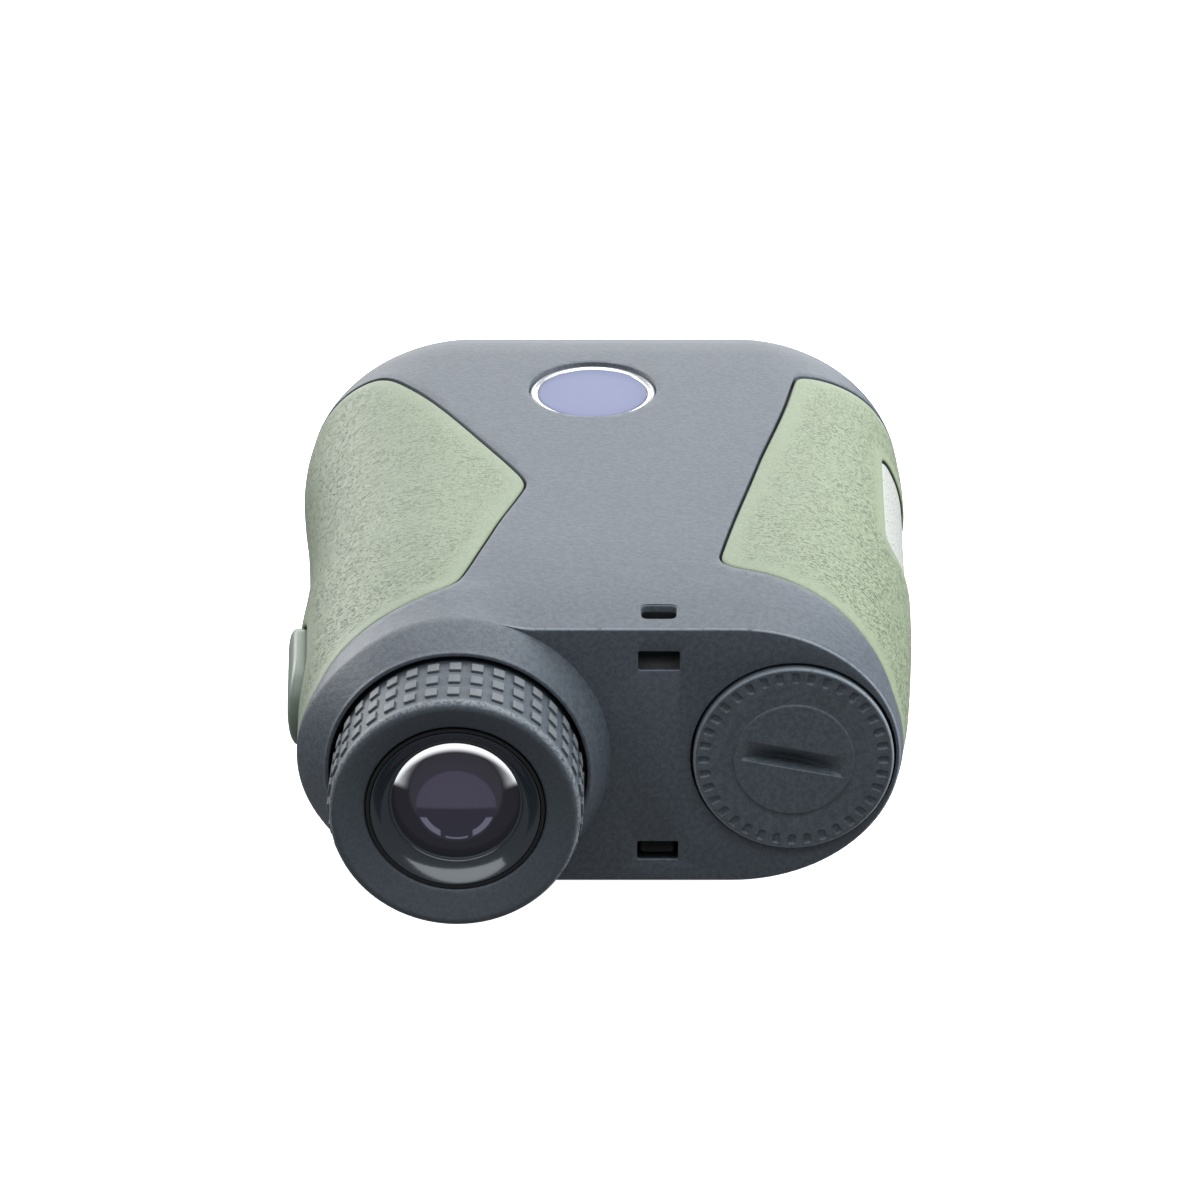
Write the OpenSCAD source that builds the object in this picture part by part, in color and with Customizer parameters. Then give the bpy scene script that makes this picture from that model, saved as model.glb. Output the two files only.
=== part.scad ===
// Handheld laser rangefinder, monocular type, lying on its side.
// The eyepiece and the battery cap face the rear (-Y), the two front lenses face +Y.
// In use the instrument is held with its power button (-X side) upwards.
// Inside the modules Y counts from the rear face and Z from the middle plane.

/* [Body] */
// Length of the body, from the flat rear face to the front cover
body_len = 92; // [88:1:104]
// Greatest width of the body
body_w = 76.6; // [76:0.2:84]
// Thickness of the body, which is its height as it lies
body_t = 33; // [33:0.5:38]
// Width of the rounded part of each side, seen in the section across the body
side_round = 18; // [16:0.5:20]
// Wall between the outer skin and the inner space, top and bottom
wall_t = 2.9; // [2.7:0.1:3.1]
// Thickness of the rear wall
rear_wall_t = 3; // [2.6:0.1:3.6]
// Thickness of the front cover's visible rim
cover_t = 2.5; // [2:0.1:3.5]

/* [Grips] */
// Thickness of the rubber grips
grip_t = 1.3; // [1:0.1:1.4]
// Groove between a grip and the housing around it
grip_gap = 0.25; // [0.15:0.05:0.4]
// How far the grips and the label lie under the skin
grip_sink = 0.08; // [0.05:0.01:0.15]

/* [Eyepiece] */
// Sighting axis, to the left of the middle plane
eye_x = 15.2; // [14.6:0.1:16]
// Outer radius of the round boss around the eyepiece
boss_r = 16.3; // [15.8:0.1:16.4]
// How far the boss stands behind the rear face
boss_out = 4; // [3:0.1:5]
// Radius of the eyecup's smooth barrel
eyecup_r = 13.2; // [12.9:0.1:13.4]
// How far the eyecup's rim stands behind the rear face
eyecup_out = 13.8; // [12.8:0.1:15]
// Clear radius of the eye lens
eye_clear_r = 6.9; // [6:0.1:7.2]
// Studs around the eyecup
stud_count = 36; // [24:2:40]
// Height of the studs
stud_h = 0.35; // [0.2:0.05:0.45]
// Dioptre travel each way along the sighting axis
dioptre_travel = 0.9; // [0.5:0.1:1]

/* [Battery] */
// Battery axis, to the right of the middle plane
cell_x = 20.9; // [20:0.1:21]
// Diameter of the battery cell
cell_d = 15.6; // [14.5:0.1:16]
// Length of the battery cell
cell_len = 27; // [25:0.5:34]
// Radius of the battery cap's head
cap_r = 10.85; // [10.5:0.05:10.9]
// How far the cap's head stands behind the rear face
cap_out = 0.8; // [0.4:0.1:1.2]
// Notches around the cap's rim
cap_notches = 36; // [18:2:40]

/* [Buttons] */
// Power button, its length along the body
power_len = 17.5; // [15:0.5:18]
// Power button, its width
power_w = 10.2; // [9:0.2:10.6]
// Power button, its centre from the rear face
power_y = 17.6; // [17:0.2:18.4]
// How far the power button stands out of the side
power_out = 1.1; // [0.6:0.1:1.6]
// Radius of the mode button in the underside
mode_r = 3.4; // [2.8:0.1:3.6]

/* [Optics] */
// Radius of the objective lens
objective_r = 11; // [10:0.1:11.2]
// Radius of the laser's collimating lens
collimator_r = 8; // [7:0.1:8.2]
// Laser axis, to the right of the middle plane
laser_x = 17; // [16.5:0.1:17.5]

/* [Strap] */
// Centre of the strap slots, to the right of the middle plane
strap_x = 6.3; // [6:0.1:6.6]
// Width of the strap slots
strap_w = 4.5; // [3:0.1:4.8]
// Thickness of the strap bar, from the rear face to the slot in the top
strap_bar = 1.9; // [1.6:0.1:2.4]

/* [Hidden] */
$fn = 96;

slip = 0.05;            // radial clearance of parts that slide or turn in each other
fit = 0.1;              // clearance of parts that are simply put together
half_w = body_w / 2;
half_t = body_t / 2;
cavity_z = half_t - wall_t;
cavity_side = 7.3;      // from the body's greatest width to the side of the inner space
cavity_x = half_w - cavity_side - cavity_z; // centre of the round ends of the inner space
cover_y = body_len - cover_t;
gasket_t = 0.6;
laser_wall = 0.8;
objective_wall = 1.3;
cover_gap = 0.1;        // joint line between the housing and the front cover

// Stations of the outer skin: share of the length, then how far the left side, the right side,
// and the top and bottom lie inside the body's greatest width and thickness
stations = [
    [0, 5.5, 5.8, 1.3], [0.027, 5.3, 5.3, 0.85], [0.054, 5.15, 4.85, 0.5], [0.09, 4.95, 4.3, 0.25],
    [0.14, 4.6, 3.75, 0.1], [0.22, 4.1, 3, 0], [0.29, 3.6, 2.4, 0], [0.37, 3.85, 1.9, 0],
    [0.45, 3.8, 1.5, 0], [0.52, 3.3, 1.2, 0], [0.61, 2.5, 0.8, 0], [0.7, 1.45, 0.3, 0],
    [0.78, 1.05, 0, 0], [0.85, 1.3, 0.25, 0.03], [0.9, 2.1, 1.1, 0.1], [0.94, 3.7, 2.7, 0.55],
    [0.973, 5.4, 4.5, 1.45], [1, 7.6, 6.9, 3.4]];
function inset(y, k) = lookup(y / body_len, [for (s = stations) [s[0], s[k]]]);
function left_w(y) = half_w - inset(y, 1);
function right_w(y) = half_w - inset(y, 2);
function half_h(y) = half_t - inset(y, 3);

// Section at y, drawn in by d: flat top and bottom, and a half ellipse at each end
side_steps = 14;
function section(y, d) = let (b = half_h(y) - d, c = side_round - d) concat(
    [for (i = [0:side_steps]) let (t = -90 + 180 * i / side_steps)
        [right_w(y) - side_round + c * cos(t), y, b * sin(t)]],
    [for (i = [0:side_steps]) let (t = 90 + 180 * i / side_steps)
        [side_round - left_w(y) + c * cos(t), y, b * sin(t)]]);

// The outer skin between y0 and y1, drawn in by d
module skin(y0, y1, d = 0) {
    ys = concat([y0], [for (s = stations) let (y = s[0] * body_len) if (y > y0 + 0.3 && y < y1 - 0.3) y], [y1]);
    m = 2 * side_steps + 2;
    last = len(ys) - 1;
    polyhedron(
        points = [for (y = ys) for (p = section(y, d)) p],
        faces = concat(
            [[for (i = [m - 1:-1:0]) i]],
            [[for (i = [0:m - 1]) last * m + i]],
            [for (r = [0:last - 1]) for (i = [0:m - 1]) let (j = (i + 1) % m)
                [r * m + i, r * m + j, (r + 1) * m + i]],
            [for (r = [0:last - 1]) for (i = [0:m - 1]) let (j = (i + 1) % m)
                [(r + 1) * m + i, r * m + j, (r + 1) * m + j]]),
        convexity = 6);
}

// From the instrument's own Y and Z to the frame of the part
module in_body() translate([0, -body_len / 2, half_t]) children();

module rod(x, z, y0, y1, r, r2 = undef)
    translate([x, y0, z]) rotate([-90, 0, 0]) cylinder(h = y1 - y0, r1 = r, r2 = is_undef(r2) ? r : r2);

module tube(x, z, y0, y1, r_out, r_in) difference() {
    rod(x, z, y0, y1, r_out);
    rod(x, z, y0 - 1, y1 + 1, r_in);
}

// A turned part along Y, from an outline of [radius, y] points
module turned(x, outline) translate([x, 0, 0]) rotate([-90, 0, 0]) rotate_extrude() polygon(outline);

// A box from one corner to the other
module block(low, high) translate(low) cube(high - low);

// A lens along Y: two spherical faces, rear bulge s0 and front bulge s1, edge from y0 to y1
lens_steps = 8;
function cap_sag(r, sag, x) = let (ball = (r * r + sag * sag) / (2 * sag)) sag - ball + sqrt(ball * ball - x * x);
module lens(x, y0, y1, r, s0, s1) turned(x, concat(
    [for (i = [0:lens_steps]) let (q = r * i / lens_steps) [q, y0 - cap_sag(r, s0, q)]],
    [for (i = [lens_steps:-1:0]) let (q = r * i / lens_steps) [q, y1 + cap_sag(r, s1, q)]]));

// A slot with round ends along Y, drilled along X
module side_slot(x0, x1, y, length, width) hull()
    for (s = [-1, 1]) translate([x0, y + s * (length - width) / 2, 0])
        rotate([0, 90, 0]) cylinder(h = x1 - x0, d = width, $fn = 48);

// ---- housing ----

boss_gap = 0.7;         // between the eyecup and the bore of the boss
boss_bore_r = eyecup_r + stud_h + boss_gap;
boss_bore_y = 1.8;      // depth of that bore
sleeve_r = eyecup_r - 1.9; // outside of the fixed eyepiece sleeve, inside the ring and the rubber
button_seat_x = 29.9;   // outer face of the power button's flange
cap_gap = 0.3;
cap_head_y = 2.6;       // inner face of the cap's head
plug_r = 9.1;           // outside of the cap's threaded plug
plug_y = 7.4;           // inner end of the plug
tube_wall = 0.9;
tube_r = plug_r + slip + tube_wall;
tube_y = cap_head_y + cap_gap + 0.02;
tube_len = cell_len + 4.6;
cell_y = plug_y + 1.3;
boss_screws = [[3.5, 9.6], [3.5, -9.6], [28.6, 0]];
screw_r = 1;
screw_boss_r = 2.2;
screw_boss_len = 14;
mode_pos = [-0.6, 20];
strap_z = [half_t - 6.2, half_t - 3.9];
strap_block = 1.6;      // wall around the strap pocket

module strap_pocket(d, deep) for (s = [-1, 1]) {
    block([strap_x - strap_w / 2 - d, d > 0 ? 0 : -1, s > 0 ? strap_z[0] - d : -strap_z[1] - d],
        [strap_x + strap_w / 2 + d, deep, s > 0 ? strap_z[1] + d : -strap_z[0] + d]);
}

module strap_window() for (s = [-1, 1])
    translate([strap_x, strap_bar + 1.35, s * (half_t - 2)]) {
        cube([strap_w - 0.7, 2.7, 6], center = true);
    }

// Outline of the left grip from above: a blade that comes to a blunt tip on top of the body
left_outline = [[-60, 75.5], [-29, 75.5], [-26, 73.5], [-20.9, 64.7], [-14.9, 52.4], [-9.3, 40.4],
    [-8.5, 37.6], [-8.7, 36], [-11.4, 25], [-14.6, 13.2], [-15.9, 9.7], [-18.3, 7.3], [-22.3, 5.4],
    [-26.8, 4], [-29.4, 2.6], [-31, 0.9], [-60, 0.9]];
right_outline = [[60, 76.4], [34.8, 76.3], [26.4, 74.5], [24.9, 73.4], [24.3, 71.9], [22.3, 60.4],
    [17.6, 38.7], [15.2, 27.1], [13.4, 17], [13.4, 15.4], [14.6, 14.2], [18.4, 12.4], [26, 9],
    [29.6, 6.4], [31.2, 4.8], [32, 3.4], [60, 3.4]];
// The outlines are drawn on a body of the first size and follow the size that is set
first_size = [76.6, 92];
function fitted(outline) = [for (p = outline) [p[0] * body_w / first_size[0], p[1] * body_len / first_size[1]]];

module grip_prism(outline, grow) translate([0, 0, -half_t - 5]) linear_extrude(body_t + 10)
    offset(delta = grow) polygon(fitted(outline));

label_y = 52.3;
label_size = [25.4, 19.2];  // along the body and across it
label_sink = 0.8;
label_corner = 2;

// A window with rounded corners for the label, cut from the right side
module label_window(grow) translate([half_w - 9, label_y, 0]) rotate([0, 90, 0])
    linear_extrude(12) offset(r = label_corner + grow, $fn = 32)
        square([label_size[1] - 2 * label_corner, label_size[0] - 2 * label_corner], center = true);

badge_at = [-0.9, 68.5];
badge_size = [15.8, 18.8];
badge_sink = 0.5;
badge_plate_t = 0.6;
badge_rim_w = 1.1;

module oval(width, length) polygon([for (i = [0:59]) [width / 2 * cos(6 * i), length / 2 * sin(6 * i)]]);

module main_housing() color([0.27, 0.28, 0.3]) in_body() difference() {
    union() {
        skin(0, cover_y - cover_gap / 2);
        rod(-eye_x, 0, -boss_out, 6, boss_r - 1.1, boss_r);
    }
    difference() {
        inner_space(rear_wall_t, body_len);
        strap_pocket(strap_block, 7);
        for (p = boss_screws) screw_boss(p);
        tube_seat();
    }
    // recesses of the two grips
    difference() {
        union() {
            grip_prism(left_outline, grip_gap);
            grip_prism(right_outline, grip_gap);
        }
        skin(-1, body_len, grip_t + grip_sink + 0.04);
    }
    // eyepiece
    rod(-eye_x, 0, -boss_out - 1, boss_bore_y, boss_bore_r);
    rod(-eye_x, 0, 0, rear_wall_t + 1, sleeve_r + fit);
    // battery mouth
    rod(cell_x, 0, -1, cap_head_y + cap_gap, cap_r + cap_gap);
    rod(cell_x, 0, 0, tube_y + tube_len + 5.6, tube_r + fit);
    // strap slots
    strap_pocket(0, 5.6);
    intersection() {
        strap_window();
        block([-40, 0, -half_t - 2], [40, 8, half_t + 2]);
    }
    // buttons
    side_slot(-half_w - 2, -20, power_y, power_len + 0.6, power_w + 0.6);
    block([-button_seat_x - fit, power_y - power_len / 2 - 1.1, -power_w / 2 - 0.9],
        [-25, power_y + power_len / 2 + 1.1, power_w / 2 + 0.9]);
    translate([mode_pos[0], mode_pos[1], -half_t - 1]) cylinder(h = 8, r = mode_r + 0.2);
    // screws and badge
    for (p = boss_screws) rod(p[0], p[1], cover_y - 12, body_len, screw_r - 0.2);
    translate([badge_at[0], badge_at[1], half_t - badge_sink - badge_plate_t - 0.05])
        linear_extrude(5) oval(badge_size[0], badge_size[1]);
}

module inner_space(y0, y1) translate([0, y0, 0]) rotate([-90, 0, 0]) linear_extrude(y1 - y0) {
    square([2 * cavity_x, 2 * cavity_z], center = true);
    for (s = [-1, 1]) translate([s * cavity_x, 0]) circle(cavity_z);
}

// A boss for a cover screw, webbed to the nearest wall
module screw_boss(p) {
    end = cover_y - cover_gap / 2 - 3.4;
    rod(p[0], p[1], end - screw_boss_len, end, screw_boss_r);
    if (p[1] == 0) block([p[0], end - screw_boss_len, -1.2], [cavity_x + cavity_z + 1, end, 1.2]);
    else block([p[0] - 1.2, end - screw_boss_len, p[1] > 0 ? p[1] : -cavity_z - 1],
        [p[0] + 1.2, end, p[1] > 0 ? cavity_z + 1 : p[1]]);
}

// Collar on the inside of the rear wall that the battery tube is set into
module tube_seat() rod(cell_x, 0, 0, rear_wall_t + 2, tube_r + fit + 1.4);

module front_cover() color([0.2, 0.21, 0.22]) in_body() difference() {
    union() {
        skin(cover_y + cover_gap / 2, body_len);
        spigot(cover_y - 3.3, cover_y + 1, fit);
    }
    rod(-eye_x, 0, cover_y - 4, cover_y + 0.4, objective_r + objective_wall + fit);
    rod(-eye_x, 0, cover_y, body_len + 1, objective_r - 0.5, objective_r + 1.2);
    rod(laser_x, 0, cover_y - 4, cover_y + 0.4, collimator_r + laser_wall + fit);
    rod(laser_x, 0, cover_y, body_len + 1, collimator_r - 0.5, collimator_r + 0.9);
    for (p = boss_screws) {
        rod(p[0], p[1], cover_y - 4, body_len + 1, screw_r + 0.15);
        rod(p[0], p[1], body_len - 1.4, body_len + 1, 1.8);
    }
    // groove of the gasket
    difference() {
        inner_space(cover_y - 2.2, cover_y - 1);
        spigot(cover_y - 3, cover_y, gasket_t);
    }
}

// The inner space drawn in by d on every side
module spigot(y0, y1, d) translate([0, y0, 0]) rotate([-90, 0, 0]) linear_extrude(y1 - y0) {
    square([2 * cavity_x, 2 * (cavity_z - d)], center = true);
    for (s = [-1, 1]) translate([s * cavity_x, 0]) circle(cavity_z - d);
}

module cover_gasket() color([0.08, 0.08, 0.08]) in_body() difference() {
    spigot(cover_y - 2.15, cover_y - 1.05, 0.02);
    spigot(cover_y - 3, cover_y, gasket_t - 0.02);
}

module cover_screws() color([0.25, 0.25, 0.26]) in_body() for (p = boss_screws) difference() {
    union() {
        rod(p[0], p[1], body_len - 1.35, body_len - 0.2, 1.7);
        rod(p[0], p[1], cover_y - 10, body_len - 1.3, screw_r - 0.22);
    }
    translate([p[0], body_len, p[1]]) for (a = [0, 90]) rotate([0, a, 0]) cube([2.2, 1.6, 0.5], center = true);
}

module grip_left() color([0.5, 0.56, 0.43]) in_body() difference() {
    intersection() {
        grip_prism(left_outline, 0);
        skin(0.2, body_len - 5, grip_sink);
    }
    skin(-1, body_len, grip_t + grip_sink);
    side_slot(-half_w - 2, -20, power_y, power_len + 0.9, power_w + 0.9);
}

module grip_right() color([0.5, 0.56, 0.43]) in_body() difference() {
    intersection() {
        grip_prism(right_outline, 0);
        skin(0.2, body_len - 5, grip_sink);
    }
    skin(-1, body_len, grip_t + grip_sink);
    label_window(0.2);
}

module label_plate() color([0.85, 0.88, 0.84]) in_body() difference() {
    intersection() {
        label_window(0);
        skin(20, 80, label_sink);
    }
    skin(10, 90, grip_t + grip_sink - 0.02);
}

module badge_rim() color([0.9, 0.91, 0.93]) in_body()
    translate([badge_at[0], badge_at[1], half_t - badge_sink - badge_plate_t]) difference() {
        linear_extrude(badge_plate_t) oval(badge_size[0] - 0.3, badge_size[1] - 0.3);
        translate([0, 0, badge_plate_t - 0.3]) linear_extrude(2)
            oval(badge_size[0] - 2 * badge_rim_w, badge_size[1] - 2 * badge_rim_w);
    }

module badge_face() color([0.45, 0.5, 0.75]) in_body()
    translate([badge_at[0], badge_at[1], half_t - badge_sink - 0.28]) linear_extrude(0.25)
        oval(badge_size[0] - 2 * badge_rim_w - 0.1, badge_size[1] - 2 * badge_rim_w - 0.1);

// ---- eyepiece ----

cell_r = sleeve_r - 1.3; // outside of the sliding ocular cell
nose_r = cell_r - 0.6;  // its narrower nose, inside the eyecup
retainer_r = cell_r - 1;
sleeve_in = cell_r + slip;
ring_r = sleeve_r + slip + 0.85;
face_y = -eyecup_out + 1.3; // flat face inside the rim
sleeve_end = 13;
ring_end = -0.2;        // inner end of the dioptre ring at rest

module eyepiece_sleeve() color([0.15, 0.15, 0.16]) in_body() difference() {
    union() {
        rod(-eye_x, 0, face_y + 2.4 + dioptre_travel, sleeve_end, sleeve_r);
        rod(-eye_x, 0, rear_wall_t + 0.02, rear_wall_t + 1.4, sleeve_r + 1);
    }
    rod(-eye_x, 0, -eyecup_out - 1, sleeve_end + 1, sleeve_in);
}

// Ring nut in the bottom of the boss that holds the sleeve in the rear wall
module sleeve_nut() color([0.2, 0.2, 0.21]) in_body()
    tube(-eye_x, 0, boss_bore_y + 0.01 - 0.6, boss_bore_y, sleeve_r + 1.4, sleeve_r + 0.01);

module ocular_cell() color([0.12, 0.12, 0.13]) in_body() turned(-eye_x, [
    [nose_r, face_y + 0.3], [nose_r, face_y + 1.2], [cell_r, face_y + 1.2], [cell_r, sleeve_end - 1.6],
    [6.6, sleeve_end - 1.6], [6.6, sleeve_end - 2.8], [8, sleeve_end - 2.8], [8, -7.6],
    [eye_clear_r + 1.2, -7.6], [eye_clear_r + 1.2, face_y + 2.8], [retainer_r + slip, face_y + 2.8],
    [retainer_r + slip, face_y + 0.3]]);

module eye_lens() color([0.5, 0.45, 0.6, 0.6]) in_body()
    lens(-eye_x, face_y + 3.2, face_y + 4.8, eye_clear_r + 1.15, 0.9, 1.1);

module lens_spacer() color([0.1, 0.1, 0.1]) in_body()
    tube(-eye_x, 0, -7.4, 6.6, 7.95, 7.2);

module field_lens() color([0.5, 0.5, 0.6, 0.6]) in_body()
    lens(-eye_x, 6.9, 8.7, 7.9, 1, 0.8);

module ocular_retainer() color([0.1, 0.1, 0.11]) in_body() turned(-eye_x, [
    [retainer_r, face_y + 0.1], [retainer_r, face_y + 2.75], [7.9, face_y + 2.75],
    [eye_clear_r, face_y + 2.5], [retainer_r - 0.25, face_y + 0.1]]);

module dioptre_ring() color([0.14, 0.14, 0.15]) in_body() turned(-eye_x, [
    [sleeve_r + slip, face_y + 1.9], [sleeve_r + slip, ring_end], [ring_r, ring_end],
    [ring_r, face_y + 1.1], [cell_r + slip, face_y + 1.1], [cell_r + slip, face_y + 1.9]]);

module eyecup() color([0.22, 0.23, 0.25]) in_body() {
    stud_rows = [-5.4, -8.3, -11.3];
    stud_w = 2 * PI * eyecup_r / stud_count * 0.56;
    stud_len = 1.7;
    turned(-eye_x, [
        [ring_r + 0.02, ring_end - 0.4], [eyecup_r, ring_end - 0.4], [eyecup_r, -eyecup_out + 1.2],
        [eyecup_r - 0.35, -eyecup_out + 0.35], [eyecup_r - 1.2, -eyecup_out], [12, -eyecup_out + 0.1],
        [9.5, face_y], [9.5, face_y + 1.08], [ring_r + 0.02, face_y + 1.08]]);
    intersection() {
        tube(-eye_x, 0, -eyecup_out + 1.5, ring_end - 1, eyecup_r + stud_h, eyecup_r - 0.2);
        for (y = stud_rows) translate([-eye_x, y, 0]) for (i = [0:stud_count - 1])
            rotate([0, i * 360 / stud_count, 0]) translate([eyecup_r, 0, 0])
                cube([2, stud_len, stud_w], center = true);
    }
}

// ---- prism block and display ----

holder_y = [24, 52];
holder_x = 10.6;        // half width of the prism holder
holder_z = 9.6;
holder_wall = 1.4;
display_y = holder_y[0] - 2.2;

module prism_holder() color([0.16, 0.16, 0.17]) in_body() translate([-eye_x, 0, 0]) difference() {
    union() {
        block([-holder_x, holder_y[0], -holder_z], [holder_x, holder_y[1], holder_z]);
        // feet between the top and the bottom wall
        for (y = [holder_y[0] + 4, holder_y[1] - 4]) block([-2, y - 2, -cavity_z + 0.02], [4, y + 2, cavity_z - 0.02]);
        // collar of the objective barrel
        rod(0, 0, holder_y[1] - 1, holder_y[1] + 5, objective_r - 0.25);
    }
    block([-holder_x + holder_wall, holder_y[0] + holder_wall, -holder_z + holder_wall],
        [holder_x - holder_wall, holder_y[1] - holder_wall, holder_z + 5]);
    rod(0, 0, holder_y[0] - 1, holder_y[1] + 6, 7);
    rod(0, 0, holder_y[1] + 0.4, holder_y[1] + 6, objective_r - 1.6);
    // window of the detector
    translate([5, (holder_y[0] + holder_y[1]) / 2, 0]) rotate([0, 90, 0]) cylinder(h = 10, r = 3);
}

module holder_cover() color([0.18, 0.18, 0.19]) in_body() translate([-eye_x, 0, 0])
    block([-holder_x + holder_wall + fit, holder_y[0] + 6.1, holder_z - holder_wall],
        [holder_x - holder_wall - fit, holder_y[1] - 6.1, holder_z]);

prism_y = [holder_y[0] + holder_wall + 0.1, holder_y[1] - holder_wall - 0.1];
prism_z = holder_z - holder_wall - 0.1;

// Two prisms that turn the image upright, separated by a thin air gap
module prism_side(outline) translate([-eye_x - 7.6, 0, 0]) rotate([90, 0, 90]) linear_extrude(15.2) polygon(outline);
module half_prism() color([0.75, 0.8, 0.85, 0.6]) in_body() prism_side([
    [prism_y[0], -prism_z], [prism_y[0] + 12.4, -prism_z], [prism_y[0] + 4.4, prism_z], [prism_y[0], prism_z]]);
module roof_prism() color([0.75, 0.8, 0.85, 0.6]) in_body() prism_side([
    [prism_y[0] + 13, -prism_z], [prism_y[1], -prism_z], [prism_y[1], prism_z - 3],
    [prism_y[1] - 8, prism_z], [prism_y[0] + 5, prism_z]]);

module display_frame() color([0.1, 0.1, 0.1]) in_body() translate([-eye_x, 0, 0]) difference() {
    block([-9, display_y - 0.6, -8.5], [9, holder_y[0], 8.5]);
    block([-7.6, display_y, -6.6], [7.6, holder_y[0] + 1, 6.6]);
    rod(0, 0, display_y - 2, display_y + 3, 5.6);
}

module display_panel() color([0.6, 0.65, 0.6, 0.6]) in_body() translate([-eye_x, 0, 0])
    block([-7.5, display_y, -6.5], [7.5, holder_y[0] - 0.05, 6.5]);

// ---- front optics ----

barrel_end = cover_y + 0.35;

module objective_barrel() color([0.13, 0.13, 0.14]) in_body() difference() {
    tube(-eye_x, 0, holder_y[1] + 0.02, barrel_end, objective_r + objective_wall, objective_r - 0.15);
    rod(-eye_x, 0, barrel_end - 4.6, barrel_end + 1, objective_r + 0.02);
}

module objective_lens() color([0.45, 0.5, 0.6, 0.6]) in_body()
    lens(-eye_x, barrel_end - 4.5, barrel_end - 2.3, objective_r, 0.9, 1.3);

module objective_retainer() color([0.1, 0.1, 0.1]) in_body()
    tube(-eye_x, 0, barrel_end - 2, barrel_end - 0.4, objective_r, objective_r - 0.9);

tube_end = tube_y + tube_len + 5.4; // inner end of the battery tube
laser_board_y = tube_end + 7.08;    // clear of the tube, with the pulse capacitor between

module laser_barrel() color([0.13, 0.13, 0.14]) in_body() difference() {
    union() {
        rod(laser_x, 0, laser_board_y + 1.25, laser_board_y + 8, 5.4);
        rod(laser_x, 0, laser_board_y + 8, laser_board_y + 16, 5.4, collimator_r + laser_wall);
        rod(laser_x, 0, laser_board_y + 16, barrel_end, collimator_r + laser_wall);
    }
    rod(laser_x, 0, laser_board_y, laser_board_y + 8, 4.3);
    rod(laser_x, 0, laser_board_y + 8, laser_board_y + 16, 4.3, collimator_r - 0.3);
    rod(laser_x, 0, laser_board_y + 16, barrel_end + 1, collimator_r - 0.3);
    rod(laser_x, 0, barrel_end - 4, barrel_end + 1, collimator_r + 0.02);
}

module collimator_lens() color([0.35, 0.2, 0.25, 0.7]) in_body()
    lens(laser_x, barrel_end - 3.95, barrel_end - 1.6, collimator_r, 0.3, 1.1);

module laser_diode() color([0.8, 0.72, 0.45]) in_body() {
    rod(laser_x, 0, laser_board_y + 1.22, laser_board_y + 2.4, 4.25);
    rod(laser_x, 0, laser_board_y + 2.4, laser_board_y + 5.2, 2.6);
    for (s = [-1.2, 1.2]) rod(laser_x + s, 0, laser_board_y - 1.5, laser_board_y + 1.3, 0.25);
}

module laser_board() color([0.1, 0.35, 0.2]) in_body() difference() {
    block([9.4, laser_board_y, -9], [24.6, laser_board_y + 1.2, 9]);
    for (s = [-1.2, 1.2]) rod(laser_x + s, 0, laser_board_y - 1, laser_board_y + 2, 0.28);
}

module pulse_capacitor() color([0.15, 0.25, 0.5]) in_body()
    block([laser_x - 3, laser_board_y - 3.2, 3.2], [laser_x + 3, laser_board_y - 0.02, 8]);

module detector_can() color([0.75, 0.75, 0.72]) in_body()
    translate([-eye_x + holder_x - holder_wall + 0.1, (holder_y[0] + holder_y[1]) / 2, 0]) rotate([0, 90, 0]) {
        cylinder(h = 1.2, r = 2.7);
        translate([0, 0, 1.2]) cylinder(h = 1.6, r = 2.7);
    }

module detector_board() color([0.1, 0.35, 0.2]) in_body() {
    x = -eye_x + holder_x - holder_wall + 2.92;
    block([x, 31, -8], [x + 1, 45, 8]);
}

// ---- electronics ----

board_x = 4.2;
board_y = [9, 62];

module main_board() color([0.1, 0.35, 0.2]) in_body() difference() {
    block([board_x, board_y[0], -cavity_z + 0.4], [board_x + 1.2, board_y[1], cavity_z - 0.4]);
    for (y = [14, 56]) translate([board_x - 1, y, 6]) rotate([0, 90, 0]) cylinder(h = 3, r = 1.1);
}

module board_chips() color([0.12, 0.12, 0.12]) in_body() {
    block([board_x - 1, 34, -4], [board_x, 41, 3]);
    block([board_x - 0.9, 48, -8], [board_x, 53, -4]);
    block([board_x - 1.2, 26, 4], [board_x, 30, 9]);
    block([board_x + 1.2, 52, -11], [board_x + 2.4, 58, -6]);
}

module transformer() color([0.5, 0.35, 0.15]) in_body() difference() {
    block([board_x + 1.22, 44.2, 6.5], [board_x + 4.9, 51.4, 12.5]);
    block([board_x + 2.2, 45.4, 6], [board_x + 6, 50.2, 7.4]);
}

module board_screws() color([0.7, 0.7, 0.72]) in_body() for (y = [14, 56])
    translate([board_x - 0.9, y, 6]) rotate([0, 90, 0]) {
        cylinder(h = 0.88, r = 1.9);
        translate([0, 0, 0.8]) cylinder(h = 2.6, r = 0.95);
    }

// ---- battery ----

module battery_tube() color([0.17, 0.17, 0.18]) in_body() difference() {
    rod(cell_x, 0, tube_y, tube_end, tube_r);
    rod(cell_x, 0, tube_y - 1, plug_y + 0.6, plug_r + slip);
    rod(cell_x, 0, plug_y, tube_y + tube_len + 4.2, cell_d / 2 + 0.3);
    // window of the inner contact
    block([cell_x - 2, tube_y + tube_len + 4, -2], [cell_x + 2, tube_y + tube_len + 6, 2]);
}

module battery_cell() color([0.75, 0.7, 0.3]) in_body() {
    rod(cell_x, 0, cell_y, cell_y + cell_len - 1.3, cell_d / 2);
    rod(cell_x, 0, cell_y + cell_len - 1.4, cell_y + cell_len, 3.2);
}

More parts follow.
